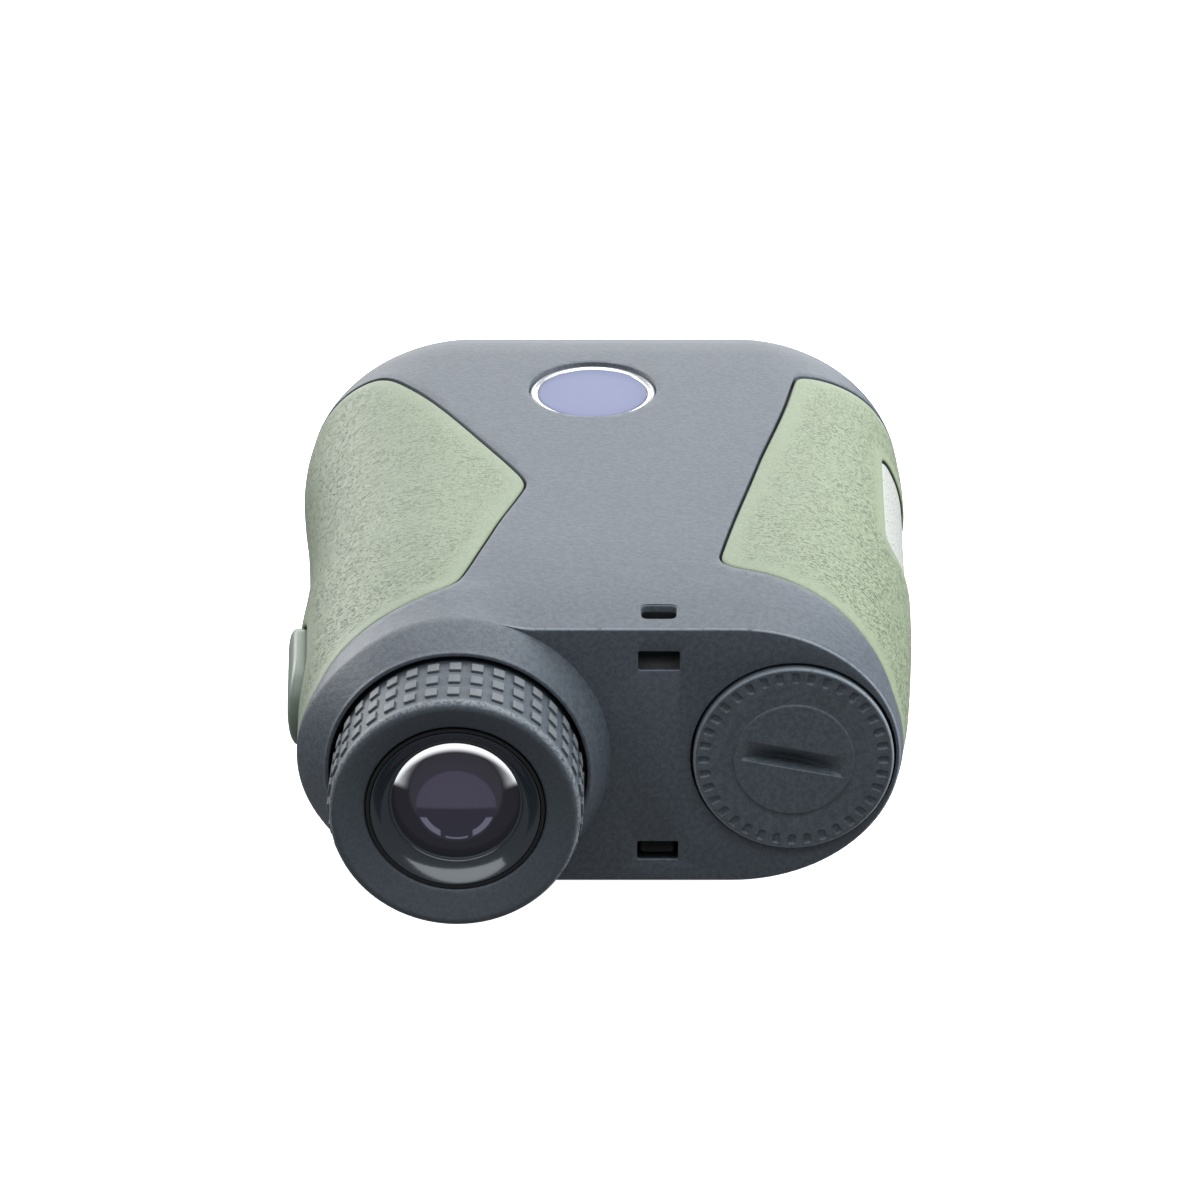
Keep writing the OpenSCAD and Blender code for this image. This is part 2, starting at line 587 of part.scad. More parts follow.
module cell_contact() color([0.8, 0.75, 0.5]) in_body() translate([cell_x, 0, 0]) {
    end = tube_y + tube_len + 4.18;
    cell_end = cell_y + cell_len + 0.02;
    block([-5, end - 0.35, -3], [5, end, 3]);
    translate([-2, 0, 0]) rotate([90, 0, 90]) linear_extrude(4) polygon([
        [cell_end, -2.4], [cell_end, 0.4], [end - 0.34, 2.6], [end - 0.34, 2], [cell_end + 0.3, 0.1],
        [cell_end + 0.3, -2.4]]);
}

module battery_cap() color([0.2, 0.21, 0.22]) in_body() difference() {
    turned(cell_x, [[0, -cap_out], [cap_r - 0.4, -cap_out], [cap_r, -cap_out + 0.4],
        [cap_r, cap_head_y], [plug_r - 0.9, cap_head_y], [plug_r - 0.9, cap_head_y + 1.3],
        [plug_r, cap_head_y + 1.3], [plug_r, plug_y - 0.4], [plug_r - 0.4, plug_y],
        [6.5, plug_y], [6.5, 2], [0, 2]]);
    // notches of the rim
    translate([cell_x, -cap_out, 0]) for (i = [0:cap_notches - 1]) rotate([0, i * 360 / cap_notches, 0])
        translate([cap_r - 1.1, 0, 0]) {
            rotate([-90, 0, 0]) translate([0, 0, -1]) cylinder(h = 1.5, r = 0.45, $fn = 24);
            translate([0, -1, -0.45]) cube([2, 1.5, 0.9]);
        }
    // fine ring and coin slot
    tube(cell_x, 0, -cap_out - 1, -cap_out + 0.25, 7, 6.6);
    translate([cell_x, -cap_out + 9.2 - 2, 0]) rotate([0, 12, 0]) intersection() {
        cylinder(h = 2, r = 9.2, center = true);
        cube([10.8, 40, 3], center = true);
    }
}

module cap_seal() color([0.06, 0.06, 0.06]) in_body() translate([cell_x, cap_head_y + 0.65, 0])
    rotate([-90, 0, 0]) rotate_extrude() translate([plug_r - 0.42, 0]) circle(0.46, $fn = 32);

module cap_contact() color([0.8, 0.75, 0.5]) in_body() {
    rod(cell_x, 0, plug_y - 2.2, plug_y - 1.7, 6.48);
    rod(cell_x, 0, plug_y - 1.7, cell_y - 0.02, 3, 2);
}

// ---- buttons ----

module power_button() color([0.42, 0.46, 0.42]) in_body() {
    side_slot(-left_w(power_y) - power_out, -button_seat_x + 0.3, power_y, power_len, power_w);
    block([-button_seat_x, power_y - power_len / 2 - 0.7, -power_w / 2 - 0.6],
        [-button_seat_x + 0.7, power_y + power_len / 2 + 0.7, power_w / 2 + 0.6]);
}

module power_switch() color([0.2, 0.2, 0.2]) in_body() {
    block([-28, power_y - 2.3, -2.3], [-26.32, power_y + 2.3, 2.3]);
    translate([-28.5, power_y, 0]) rotate([0, 90, 0]) cylinder(h = 0.6, r = 1.2);
}

module button_board() color([0.1, 0.35, 0.2]) in_body()
    block([-26.3, 13.4, -8.4], [-25.4, 21.2, 8.4]);

module mode_button() color([0.42, 0.46, 0.42]) in_body() translate([mode_pos[0], mode_pos[1], -half_t + 0.4]) {
    cylinder(h = wall_t, r = mode_r);
    translate([0, 0, wall_t - 0.3]) cylinder(h = 1, r = mode_r + 1);
}

module mode_switch() color([0.2, 0.2, 0.2]) in_body() translate([mode_pos[0], mode_pos[1], 0]) {
    block([-2.3, -2.3, -cavity_z + 2.4], [2.3, 2.3, -cavity_z + 3.98]);
    translate([0, 0, -cavity_z + 1.72]) cylinder(h = 0.8, r = 1.2);
}

module switch_board() color([0.1, 0.35, 0.2]) in_body()
    block([-3.4, mode_pos[1] - 4, -cavity_z + 4], [board_x - 0.02, mode_pos[1] + 4, -cavity_z + 5]);

main_housing();
front_cover();
cover_gasket();
cover_screws();
grip_left();
grip_right();
label_plate();
badge_rim();
badge_face();
eyepiece_sleeve();
sleeve_nut();
ocular_cell();
eye_lens();
field_lens();
lens_spacer();
ocular_retainer();
dioptre_ring();
eyecup();
prism_holder();
half_prism();
roof_prism();
holder_cover();
display_panel();
display_frame();
objective_barrel();
objective_lens();
objective_retainer();
laser_barrel();
collimator_lens();
laser_diode();
laser_board();
pulse_capacitor();
detector_can();
detector_board();
main_board();
board_chips();
transformer();
board_screws();
battery_tube();
battery_cell();
cell_contact();
battery_cap();
cap_contact();
cap_seal();
power_button();
power_switch();
button_board();
mode_button();
mode_switch();
switch_board();
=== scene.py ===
# Finish of a handheld laser rangefinder, lying on its side on a pale floor.
# Shapes are worked out in the instrument's own millimetres: X to the right, Y from the flat rear
# face towards the front, Z from the middle plane. placed() turns them into the frame's metres.

import math
import bmesh
import bpy
import numpy as np
from mathutils import Matrix, Vector, geometry
from mathutils.kdtree import KDTree


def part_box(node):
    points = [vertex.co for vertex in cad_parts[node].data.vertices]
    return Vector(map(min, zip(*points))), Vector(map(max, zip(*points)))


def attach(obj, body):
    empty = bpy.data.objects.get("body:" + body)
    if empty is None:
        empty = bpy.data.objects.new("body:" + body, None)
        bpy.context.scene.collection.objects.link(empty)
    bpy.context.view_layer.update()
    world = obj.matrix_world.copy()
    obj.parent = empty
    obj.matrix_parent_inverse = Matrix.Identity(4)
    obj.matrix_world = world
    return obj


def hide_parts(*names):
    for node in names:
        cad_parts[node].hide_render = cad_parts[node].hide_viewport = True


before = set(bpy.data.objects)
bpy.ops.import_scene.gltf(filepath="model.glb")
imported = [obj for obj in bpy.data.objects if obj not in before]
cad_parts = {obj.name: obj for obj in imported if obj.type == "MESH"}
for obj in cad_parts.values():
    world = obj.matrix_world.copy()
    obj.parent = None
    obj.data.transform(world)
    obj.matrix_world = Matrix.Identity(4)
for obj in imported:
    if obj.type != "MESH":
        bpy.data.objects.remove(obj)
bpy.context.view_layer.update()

MM = 0.001

# ---- driving sizes, in millimetres ----

REAR = -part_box("front_cover")[1].y / MM     # the rear face, in the frame
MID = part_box("main_housing")[1].z / MM / 2  # the middle plane, in the frame
LENGTH = -2 * REAR
GRIP_SINK = 0.08
HALF_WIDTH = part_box("grip_right")[1].x / MM + GRIP_SINK
HALF_HEIGHT = MID
SIDE = 18.0             # width of the rounded part of each side
COVER_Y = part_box("main_housing")[1].y / MM - REAR

# Stations of the outer skin: share of the length, then how far the left side, the right side,
# and the top and bottom lie inside the greatest width and height
STATIONS = np.array([
    (0, 5.5, 5.8, 1.3), (0.027, 5.3, 5.3, 0.85), (0.054, 5.15, 4.85, 0.5), (0.09, 4.95, 4.3, 0.25),
    (0.14, 4.6, 3.75, 0.1), (0.22, 4.1, 3, 0), (0.29, 3.7, 2.4, 0), (0.37, 3.8, 1.9, 0),
    (0.45, 3.75, 1.5, 0), (0.52, 3.3, 1.2, 0), (0.61, 2.5, 0.75, 0), (0.7, 1.5, 0.3, 0),
    (0.78, 0.85, 0.0, 0), (0.85, 0.9, 0.0, 0.02), (0.9, 1.45, 0.45, 0.08), (0.94, 2.75, 1.6, 0.4),
    (0.973, 4.4, 3.2, 1.2), (1, 6.6, 5.6, 2.9)])

LEFT_SIDE, RIGHT_SIDE, TOP_SIDE = 1, 2, 3

FLAT = 38.0             # the unrolled skin: flat top, right side, flat underside, left side
ROUND = 54.0
AROUND = 2 * FLAT + 2 * ROUND
SEAM = -ROUND - FLAT / 2    # where the unrolled skin is cut, along the middle of the underside
LEFT_MIDDLE, RIGHT_MIDDLE = -ROUND / 2, FLAT + ROUND / 2

EYE_X = -15.2
EYE_Z = 0.0
BOSS_BASE = 16.4        # radius where the boss leaves the rear face
BOSS_TIP = 14.35
BOSS_OUT = 4.0
BOSS_LIP = 0.2
BOSS_BORE = 13.85
EYECUP_R = 13.2
EYECUP_FACE = -12.5         # how far back the eyecup and the battery cap reach
CAP_X = 20.9
CAP_R = 10.85
CAP_FACE = -0.8
LASER_X = 17.0
SCREWS = ((3.5, 9.6), (3.5, -9.6), (28.6, 0.0))

CAVITY_X = 17.4
CAVITY_Z = 13.6
REAR_WALL = 3.0
GRIP_THICK = 1.3
GRIP_BACK = GRIP_SINK + GRIP_THICK
GROOVE = 0.25
RECESS = GRIP_BACK + 0.04
JOINT = 0.14                # depth of the rounded edges along grooves and joints
STRAP_X = 6.3
STRAP_Z = 11.45             # middle of the rear strap slots
STRAP_TOP_Y = 3.25
STRAP_DROP = 0.62           # how far the skin has fallen towards the rear face there
MODE_AT = (-0.6, 20.0)
BADGE_AT = (-0.9, 68.5)
BADGE = (15.8, 18.8)
BADGE_DEPTH = 1.15
POWER_Y = 17.6


def placed(points):
    """Instrument millimetres to the frame's metres."""
    points = np.asarray(points, float).reshape(-1, 3)
    return (points + (0, REAR, MID)) * MM


# ---- the outer skin ----

def through(knots, values, at):
    """A smooth curve through values at knots."""
    slopes = np.gradient(values, knots)
    i = np.clip(np.searchsorted(knots, at, side="right") - 1, 0, len(knots) - 2)
    width = knots[i + 1] - knots[i]
    t = (at - knots[i]) / width
    return ((1 + 2 * t) * (1 - t) ** 2 * values[i] + t * (1 - t) ** 2 * width * slopes[i]
            + t ** 2 * (3 - 2 * t) * values[i + 1] + t ** 2 * (t - 1) * width * slopes[i + 1])


def inset(y, column):
    """How far one side of the skin lies inside the greatest size, at y."""
    share = np.clip(np.asarray(y, float) / LENGTH, 0, 1)
    return np.maximum(through(STATIONS[:, 0], STATIONS[:, column], share), 0)


def smooth_max(a, b, width):
    near = np.maximum(width - np.abs(a - b), 0) / width
    return np.maximum(a, b) + near ** 2 * width / 4


def ramp(x, low, high):
    t = np.clip((np.asarray(x, float) - low) / (high - low), 0, 1)
    return t * t * (3 - 2 * t)


def skin(s, y, depth=0.0):
    """Points of the outer skin at s around it and y along it, depth inside it."""
    s, y, depth = np.broadcast_arrays(np.asarray(s, float), np.asarray(y, float), np.asarray(depth, float))
    s = (s - SEAM) % AROUND + SEAM
    right = HALF_WIDTH - inset(y, RIGHT_SIDE) - SIDE
    left = SIDE - HALF_WIDTH + inset(y, LEFT_SIDE)
    half = HALF_HEIGHT - inset(y, TOP_SIDE) - depth
    end = SIDE - depth
    turn_right = math.pi * (s - FLAT) / ROUND
    turn_left = -math.pi * s / ROUND
    below = np.where(s < 0, s + AROUND, s)
    across_top = left + (right - left) * s / FLAT
    across_under = right - (right - left) * (below - FLAT - ROUND) / FLAT
    parts = [s < -ROUND, s < 0, s <= FLAT, s <= FLAT + ROUND]
    x = np.select(parts, [across_under, left - end * np.sin(turn_left), across_top,
                          right + end * np.sin(turn_right)], across_under)
    z = np.select(parts, [-half, half * np.cos(turn_left), half, half * np.cos(turn_right)], -half)
    # the round boss of the eyepiece swells the rear end of the skin
    far = np.hypot(x - EYE_X, z)
    swollen = smooth_max(far, BOSS_BASE - depth - 1.4 * ramp(y, 7, 16) - 8 * ramp(y, 18, 60), 0.8)
    x = EYE_X + (x - EYE_X) * swollen / far
    z = np.clip(z * swollen / far, depth - HALF_HEIGHT, HALF_HEIGHT - depth)
    return np.stack([x, y, z], -1)


def unrolled(x, y, side):
    """Where a point seen from above lies on the unrolled skin. side is -1 for left, 1 for right."""
    right = HALF_WIDTH - inset(y, RIGHT_SIDE) - SIDE
    left = SIDE - HALF_WIDTH + inset(y, LEFT_SIDE)
    if side > 0 and x > right:
        return FLAT + ROUND * math.asin(min((x - right) / SIDE, 1)) / math.pi
    if side < 0 and x < left:
        return -ROUND * math.asin(min((left - x) / SIDE, 1)) / math.pi
    return FLAT * (x - left) / (right - left)


# ---- closed outlines and the panels they bound ----

def rounded(corners, step=0.4):
    """A closed outline of (u, v, roundness) corners, each eased over that length of its sides."""
    points = []
    count = len(corners)
    for i in range(count):
        before, here, after = (np.array(corners[(i + k) % count][:2], float) for k in (-1, 0, 1))
        reach = corners[i][2]
        back = np.linalg.norm(before - here)
        ahead = np.linalg.norm(after - here)
        start = here + (before - here) * min(reach / back, 0.5)
        finish = here + (after - here) * min(reach / ahead, 0.5)
        turns = max(int((np.linalg.norm(here - start) + np.linalg.norm(finish - here)) / step), 4)
        for k in range(turns + 1):
            t = k / turns
            points.append((1 - t) ** 2 * start + 2 * t * (1 - t) * here + t ** 2 * finish)
    return evened(np.array(points), step)


def evened(points, step=None, count=None):
    """The closed outline with points about one step apart, or with exactly count of them."""
    loop = np.vstack([points, points[:1]])
    run = np.concatenate([[0], np.cumsum(np.linalg.norm(np.diff(loop, axis=0), axis=1))])
    at = np.linspace(0, run[-1], count or int(run[-1] / step), endpoint=False)
    return np.stack([np.interp(at, run, loop[:, k]) for k in (0, 1)], -1)


def shifted(ring, distance):
    """The closed outline moved outwards by distance; its points stay matched."""
    along = np.roll(ring, -1, 0) - np.roll(ring, 1, 0)
    along /= np.linalg.norm(along, axis=1)[:, None]
    outward = np.stack([along[:, 1], -along[:, 0]], -1)
    area = np.sum(ring[:, 0] * np.roll(ring[:, 1], -1) - np.roll(ring[:, 0], -1) * ring[:, 1])
    return ring + outward * distance * math.copysign(1, area)


def inside(points, ring):
    """Which points lie inside the closed outline."""
    hits = np.zeros(len(points), bool)
    ends = np.roll(ring, -1, 0)
    for (x0, y0), (x1, y1) in zip(ring, ends):
        if y0 != y1:
            crosses = (y0 > points[:, 1]) != (y1 > points[:, 1])
            hits ^= crosses & (points[:, 0] < (x1 - x0) * (points[:, 1] - y0) / (y1 - y0) + x0)
    return hits


def clearance(points, rings):
    """Distance from each point to the nearest point of the outlines."""
    cloud = np.vstack(rings)
    tree = KDTree(len(cloud))
    for i, (u, v) in enumerate(cloud):
        tree.insert((u, v, 0), i)
    tree.balance()
    return np.array([tree.find((u, v, 0))[2] for u, v in points])


def lattice(low, high, step):
    """A grid of points from one corner to the other, every other row offset by half a step."""
    rows = max(int(round((high[1] - low[1]) / step)), 1)
    columns = max(int(round((high[0] - low[0]) / step)), 1)
    u, v = np.meshgrid(np.linspace(low[0], high[0], columns + 1), np.linspace(low[1], high[1], rows + 1))
    u[1::2, 1:-1] += step / 2
    return np.stack([u.ravel(), v.ravel()], -1)


def triangulated(points, edges):
    """Triangles over all the points that keep the edges."""
    made, _, faces, origin, _, _ = geometry.delaunay_2d_cdt(
        [Vector(p) for p in points], edges, [], 0, 1e-6)
    return np.array([tuple(p) for p in made]), np.array(faces), [o[0] if o else -1 for o in origin]


def ring_edges(first, count):
    return [(first + i, first + (i + 1) % count) for i in range(count)]


def panel(rings, grid, gap, holes=()):
    """A triangulated panel on the unrolled skin, filled with those grid points that keep the gap.

    rings holds (outline, depth) pairs, the outermost first; the last one's depth fills the panel.
    holes holds lists of such pairs, the innermost edge of each hole first.
    """
    points, depths, edges = [], [], []
    for outline, depth in [*rings, *(pair for hole in holes for pair in hole)]:
        edges += ring_edges(sum(len(p) for p in points), len(outline))
        points.append(outline)
        depths.append(np.full(len(outline), depth))
    loops = [outline for outline, _ in rings] + [outline for hole in holes for outline, _ in hole]
    free = inside(grid, rings[-1][0])
    for hole in holes:
        free &= ~inside(grid, hole[-1][0])
    grid = grid[free]
    grid = grid[clearance(grid, loops) > gap]
    points.append(grid)
    depths.append(np.full(len(grid), rings[-1][1]))
    # four far corners keep the triangles outside the panel wide enough to be told apart
    points.append(np.array([(-400, -400), (600, -400), (600, 600), (-400, 600)], float))
    depths.append(np.zeros(4))
    made, faces, origin = triangulated(np.vstack(points), edges)
    depths = np.concatenate(depths)[origin]
    middles = made[faces].mean(1)
    kept = inside(middles, rings[0][0])
    for hole in holes:
        kept &= ~inside(middles, hole[0][0])
    faces = faces[kept]
    used = np.unique(faces)
    place = np.zeros(len(made), int)
    place[used] = np.arange(len(used))
    return made[used], place[faces], depths[used]


# ---- meshes ----

def linked(name, data):
    """A new object with that data, in the scene."""
    made = bpy.data.objects.new(name, data)
    bpy.context.scene.collection.objects.link(made)
    return made


def raw_mesh(name, points, faces, border=None):
    """A mesh object from frame points, its doubles merged and its faces turned outwards."""
    mesh = bpy.data.meshes.new(name)
    mesh.from_pydata([tuple(p) for p in points], [], [tuple(int(i) for i in f) for f in faces])
    if border is not None:
        mesh.attributes.new("border", "FLOAT", "POINT").data.foreach_set("value", border)
    piece = linked(name, mesh)
    shape = bmesh.new()
    shape.from_mesh(mesh)
    bmesh.ops.remove_doubles(shape, verts=shape.verts, dist=2e-7)
    bmesh.ops.dissolve_degenerate(shape, edges=shape.edges, dist=1e-8)
    bmesh.ops.recalc_face_normals(shape, faces=shape.faces)
    shape.to_mesh(mesh)
    shape.free()
    return piece


def soften(piece, angle=28):
    """The piece, smooth but for creases at edges sharper than the angle."""
    mesh = piece.data
    mesh.shade_smooth()
    mesh.set_sharp_from_angle(angle=math.radians(angle))
    return piece


def revolved(name, outline, centre=(0.0, 0.0), steps=128, closed=True):
    """A turned solid about an axis along Y, from (radius, y) points; closed joins last to first."""
    outline = list(outline) + list(outline[:1]) * closed
    turns = 2 * math.pi * np.arange(steps) / steps
    x, z = centre
    points = [(x + r * math.sin(a), y, z + r * math.cos(a)) for r, y in outline for a in turns]
    return raw_mesh(name, placed(points), strips(len(outline), steps, True))


def lofted(name, levels, direction):
    """A solid through matched closed outlines, from (outline, level) pairs along X, Y or Z."""
    order = {"X": (2, 0, 1), "Y": (0, 2, 1), "Z": (0, 1, 2)}[direction]
    points = []
    for ring, level in levels:
        for u, v in ring:
            values = (u, v, level)
            points.append([values[order[k]] for k in range(3)])
    count = len(levels[0][0])
    last = (len(levels) - 1) * count
    faces = [tuple(range(count)), tuple(range(last, last + count))]
    faces += strips(len(levels), count, True)
    return raw_mesh(name, placed(points), faces)


def strips(rows, count, closed):
    """Four-sided faces between successive rows of count points."""
    faces = []
    for k in range(rows - 1):
        for i in range(count if closed else count - 1):
            j = (i + 1) % count
            faces.append((k * count + i, k * count + j, (k + 1) * count + j, (k + 1) * count + i))
    return faces


def joined(parts):
    """One list of points and faces from several (points, faces) pairs."""
    points, faces, first = [], [], 0
    for some, their in parts:
        points.append(some)
        faces += [tuple(first + i for i in face) for face in their]
        first += len(some)
    return np.vstack(points), faces


def baked(piece):
    """The piece's modifiers worked into its mesh."""
    depsgraph = bpy.context.evaluated_depsgraph_get()
    mesh = bpy.data.meshes.new_from_object(piece.evaluated_get(depsgraph), depsgraph=depsgraph)
    piece.modifiers.clear()
    old = piece.data
    piece.data = mesh
    bpy.data.meshes.remove(old)
    return piece


def cut(piece, *tools, operation="DIFFERENCE"):
    """The piece with each tool cut out of it; the tools are used up."""
    for tool in tools:
        modifier = piece.modifiers.new("cut", "BOOLEAN")
        modifier.operation = operation
        modifier.solver = "EXACT"
        modifier.object = tool
        baked(piece)
        bpy.data.objects.remove(tool)
    return piece


def stadium(length, width, step=0.4):
    """An outline with round ends, longer along v."""
    r = width / 2
    straight = length / 2 - r
    turns = [math.pi * i / 24 for i in range(25)]
    points = [(r * math.cos(a), straight + r * math.sin(a)) for a in turns]
    points += [(-r * math.cos(a), -straight - r * math.sin(a)) for a in turns]
    return evened(np.array(points), step)


def oval(width, length, count=144):
    turns = 2 * math.pi * np.arange(count) / count
    return np.stack([width / 2 * np.cos(turns), length / 2 * np.sin(turns)], -1)


def soft_box(width, length, corner, step=0.3):
    """A rectangle with rounded corners."""
    u, v = width / 2, length / 2
    return rounded([(-u, -v, corner), (u, -v, corner), (u, v, corner), (-u, v, corner)], step)


def arc(centre, radius, start, finish, steps=6):
    """Points of an arc, angles in degrees from the first axis towards the second."""
    turns = np.radians(np.linspace(start, finish, steps + 1))
    return [(centre[0] + radius * math.cos(a), centre[1] + radius * math.sin(a)) for a in turns]


# ---- outlines of the grips, the label and the power button ----

def wrapped(corners, side):
    """Corners seen from above, laid on the unrolled skin and mirrored to the underside."""
    top = [(unrolled(x, y, side), y, roundness) for x, y, roundness in corners]
    mirror = 2 * (RIGHT_MIDDLE if side > 0 else LEFT_MIDDLE)
    return top + [(mirror - s, y, roundness) for s, y, roundness in reversed(top)]


EASE = 30.0     # a corner that only steers a curve
LEFT_GRIP = rounded(wrapped([
    (-34.6, 80.3, EASE), (-31.4, 79.2, EASE), (-28.1, 77.4, 3), (-25.9, 74.6, 3), (-21.3, 66.2, EASE),
    (-15.3, 53.4, EASE), (-9.0, 39.5, 1.6), (-8.6, 37.2, 1.6), (-11.7, 25.3, EASE), (-14.6, 13.2, 4),
    (-15.9, 9.4, 4), (-18.3, 7.3, EASE), (-22.3, 5.4, EASE), (-26.8, 4, EASE), (-29.4, 2.6, EASE),
    (-31, 0.9, 3)], -1))
RIGHT_GRIP = rounded(wrapped([
    (35.4, 79.6, EASE), (32.0, 77.6, EASE), (26.6, 75.1, 3), (24.7, 73.9, 2), (24.2, 71.9, 2.5),
    (22.3, 60.4, EASE), (17.6, 38.7, EASE), (15.2, 27.1, EASE), (13.2, 15.9, 1.7), (14.2, 14.2, 1.7),
    (18.4, 12.4, EASE), (26, 9, EASE), (29.6, 6.4, EASE), (31.2, 4.8, EASE), (32, 3, 4)], 1))
LABEL = soft_box(19.6, 27.0, 2.4) + (RIGHT_MIDDLE, 51.5)
POWER_BUTTON = stadium(17.5, 10.6) + (LEFT_MIDDLE, POWER_Y)


# ---- housing ----

def rear_fillet(s):
    """Size of the rounding between the skin and the rear face; none where the boss carries on."""
    points = skin(s, 0)
    far = np.hypot(points[:, 0] - EYE_X, points[:, 2]) - BOSS_BASE
    return np.where(points[:, 0] > EYE_X + 3, np.clip(0.5 * (far - 0.02), 0, 0.3), 0)


def recess_rim(outline):
    """The rounded edge of the housing along a recess, the innermost edge first."""
    return [(shifted(outline, GROOVE), JOINT), (shifted(outline, GROOVE + 0.05), 0.04),
            (shifted(outline, GROOVE + 0.16), 0.0)]


def body_rows():
    """Grid points of the housing's skin, closer together towards the rear and the front."""
    first, last = SEAM + 0.7, SEAM + AROUND - 0.7
    rear = lattice((first, 0.5), (last, 8), 0.9)
    middle = lattice((first, 9), (last, 82), 1.1)
    front = lattice((first, 82.8), (last, COVER_Y - 0.8), 0.8)
    return np.vstack([rear, middle, front])


def frame_ring(y0, y1):
    """The edge of the unrolled skin between y0 and y1."""
    across = np.linspace(SEAM, SEAM + AROUND, int(AROUND) + 1)
    along = np.linspace(y0, y1, 91)[1:-1]
    bottom = np.stack([across, np.full_like(across, y0)], -1)
    top = np.stack([across[::-1], np.full_like(across, y1)], -1)
    right = np.stack([np.full_like(along, SEAM + AROUND), along], -1)
    left = np.stack([np.full_like(along, SEAM), along[::-1]], -1)
    return np.vstack([bottom, right, top, left])


def boss_parts(top, bottom):
    """The eyepiece boss behind the rear face, between the skin's own samples top and bottom."""
    kept = np.arange(bottom, top + 1)
    across, _, up = (skin(kept, 0) - (EYE_X, 0, 0)).T
    angles = np.arctan2(across, up)
    far = np.hypot(across, up)
    right_angles = np.linspace(angles[-1], math.pi - angles[-1], 62)[1:-1]
    angles = np.concatenate([angles, right_angles])
    far = np.concatenate([far, np.full(len(right_angles), BOSS_BASE)])
    rows = []
    for share in np.linspace(0, 1, 13):
        rows.append((-(BOSS_OUT - BOSS_LIP) * share, BOSS_TIP + (far - BOSS_TIP) * (1 - share ** 1.08)))
    for turn in np.radians((30, 60, 90)):
        radius = BOSS_TIP - BOSS_LIP * (1 - math.cos(turn))
        rows.append((-BOSS_OUT + BOSS_LIP * (1 - math.sin(turn)), np.full_like(far, radius)))
    points = np.vstack([np.stack([EYE_X + r * np.sin(angles), np.full_like(r, y), r * np.cos(angles)], -1)
                        for y, r in rows])
    count = len(angles)
    faces = strips(len(rows), count, True)
    faces.append(tuple(range((len(rows) - 1) * count, len(rows) * count)))
    base = points[:count]
    return (points, faces), base[len(kept) - 1:]


def body_shell():
    """The closed outer form of the housing with the recesses of the grips."""
    outlines = [LEFT_GRIP, RIGHT_GRIP]
    front = COVER_Y - 0.16
    made, faces, depths = panel([(frame_ring(0, front), 0)], body_rows(), 0.45,
                                [recess_rim(outline) for outline in outlines])
    lift = rear_fillet(made[:, 0]) * np.clip(1 - made[:, 1] / 2.5, 0, 1)
    parts = [(skin(made[:, 0], made[:, 1] + lift, depths), faces)]
    for outline in outlines:
        rings = [(shifted(outline, GROOVE), JOINT), (shifted(outline, GROOVE - 0.02), RECESS)]
        made, faces, depths = panel(rings, lattice((SEAM, 0), (SEAM + AROUND, 90), 2.5), 1.2)
        parts.append((skin(made[:, 0], made[:, 1], depths), faces))
    around = np.linspace(SEAM, SEAM + AROUND, int(AROUND) + 1)
    size = rear_fillet(around)
    turns = np.radians(np.linspace(0, 90, 5))
    rows = [skin(around, size * (1 - math.sin(a)), size * (1 - math.cos(a))) for a in turns]
    parts.append((np.vstack(rows), strips(len(rows), len(around), False)))
    # the rear face, between the rounded edge and the boss
    top = int(min(a for a in around if 0 < a and rear_fillet(np.array([a]))[0] > 0)) - 1
    bottom = int(2 * LEFT_MIDDLE) - top
    boss, inner = boss_parts(top, bottom)
    parts.append(boss)
    edge = rows[-1][:-1]
    order = [(k - int(SEAM)) % int(AROUND) for k in range(top, bottom + int(AROUND) + 1)]
    outline = np.vstack([edge[order], inner[1:][::-1]])
    parts.append((outline, [tuple(range(len(outline)))]))
    # the front edge and the joint face under the cover
    rows = [skin(around, front, 0), skin(around, COVER_Y - 0.05, 0.04), skin(around, COVER_Y, JOINT)]
    parts.append((np.vstack(rows), strips(len(rows), len(around), False)))
    parts.append((rows[-1][:-1], [tuple(range(len(around) - 1))]))
    points, faces = joined(parts)
    return raw_mesh("main_housing_shell", placed(points), faces)


def inner_space():
    """The hollow of the housing, with a solid block left around each strap pocket."""
    ring = stadium(2 * (CAVITY_X + CAVITY_Z), 2 * CAVITY_Z, 1.0)[:, ::-1]
    hollow = lofted("hollow", [(ring, REAR_WALL), (ring, LENGTH + 3)], "Y")
    for side in (-1, 1):
        block = soft_box(7.7, 5.5, 0.4) + (STRAP_X, side * STRAP_Z)
        cut(hollow, lofted("block", [(block, 0), (block, 7)], "Y"))
    return hollow


def eased_hole(name, ring, direction, start, surface, outside, lip=0.15):
    """A straight cutter from start to outside whose mouth at surface is rounded by lip."""
    way = math.copysign(1, outside - surface)
    middle = (shifted(ring, 0.3 * lip), surface - way * 0.3 * lip)
    mouth = shifted(ring, lip)
    levels = [(ring, start), (ring, surface - way * lip), middle, (mouth, surface), (mouth, outside)]
    return lofted(name, levels, direction)


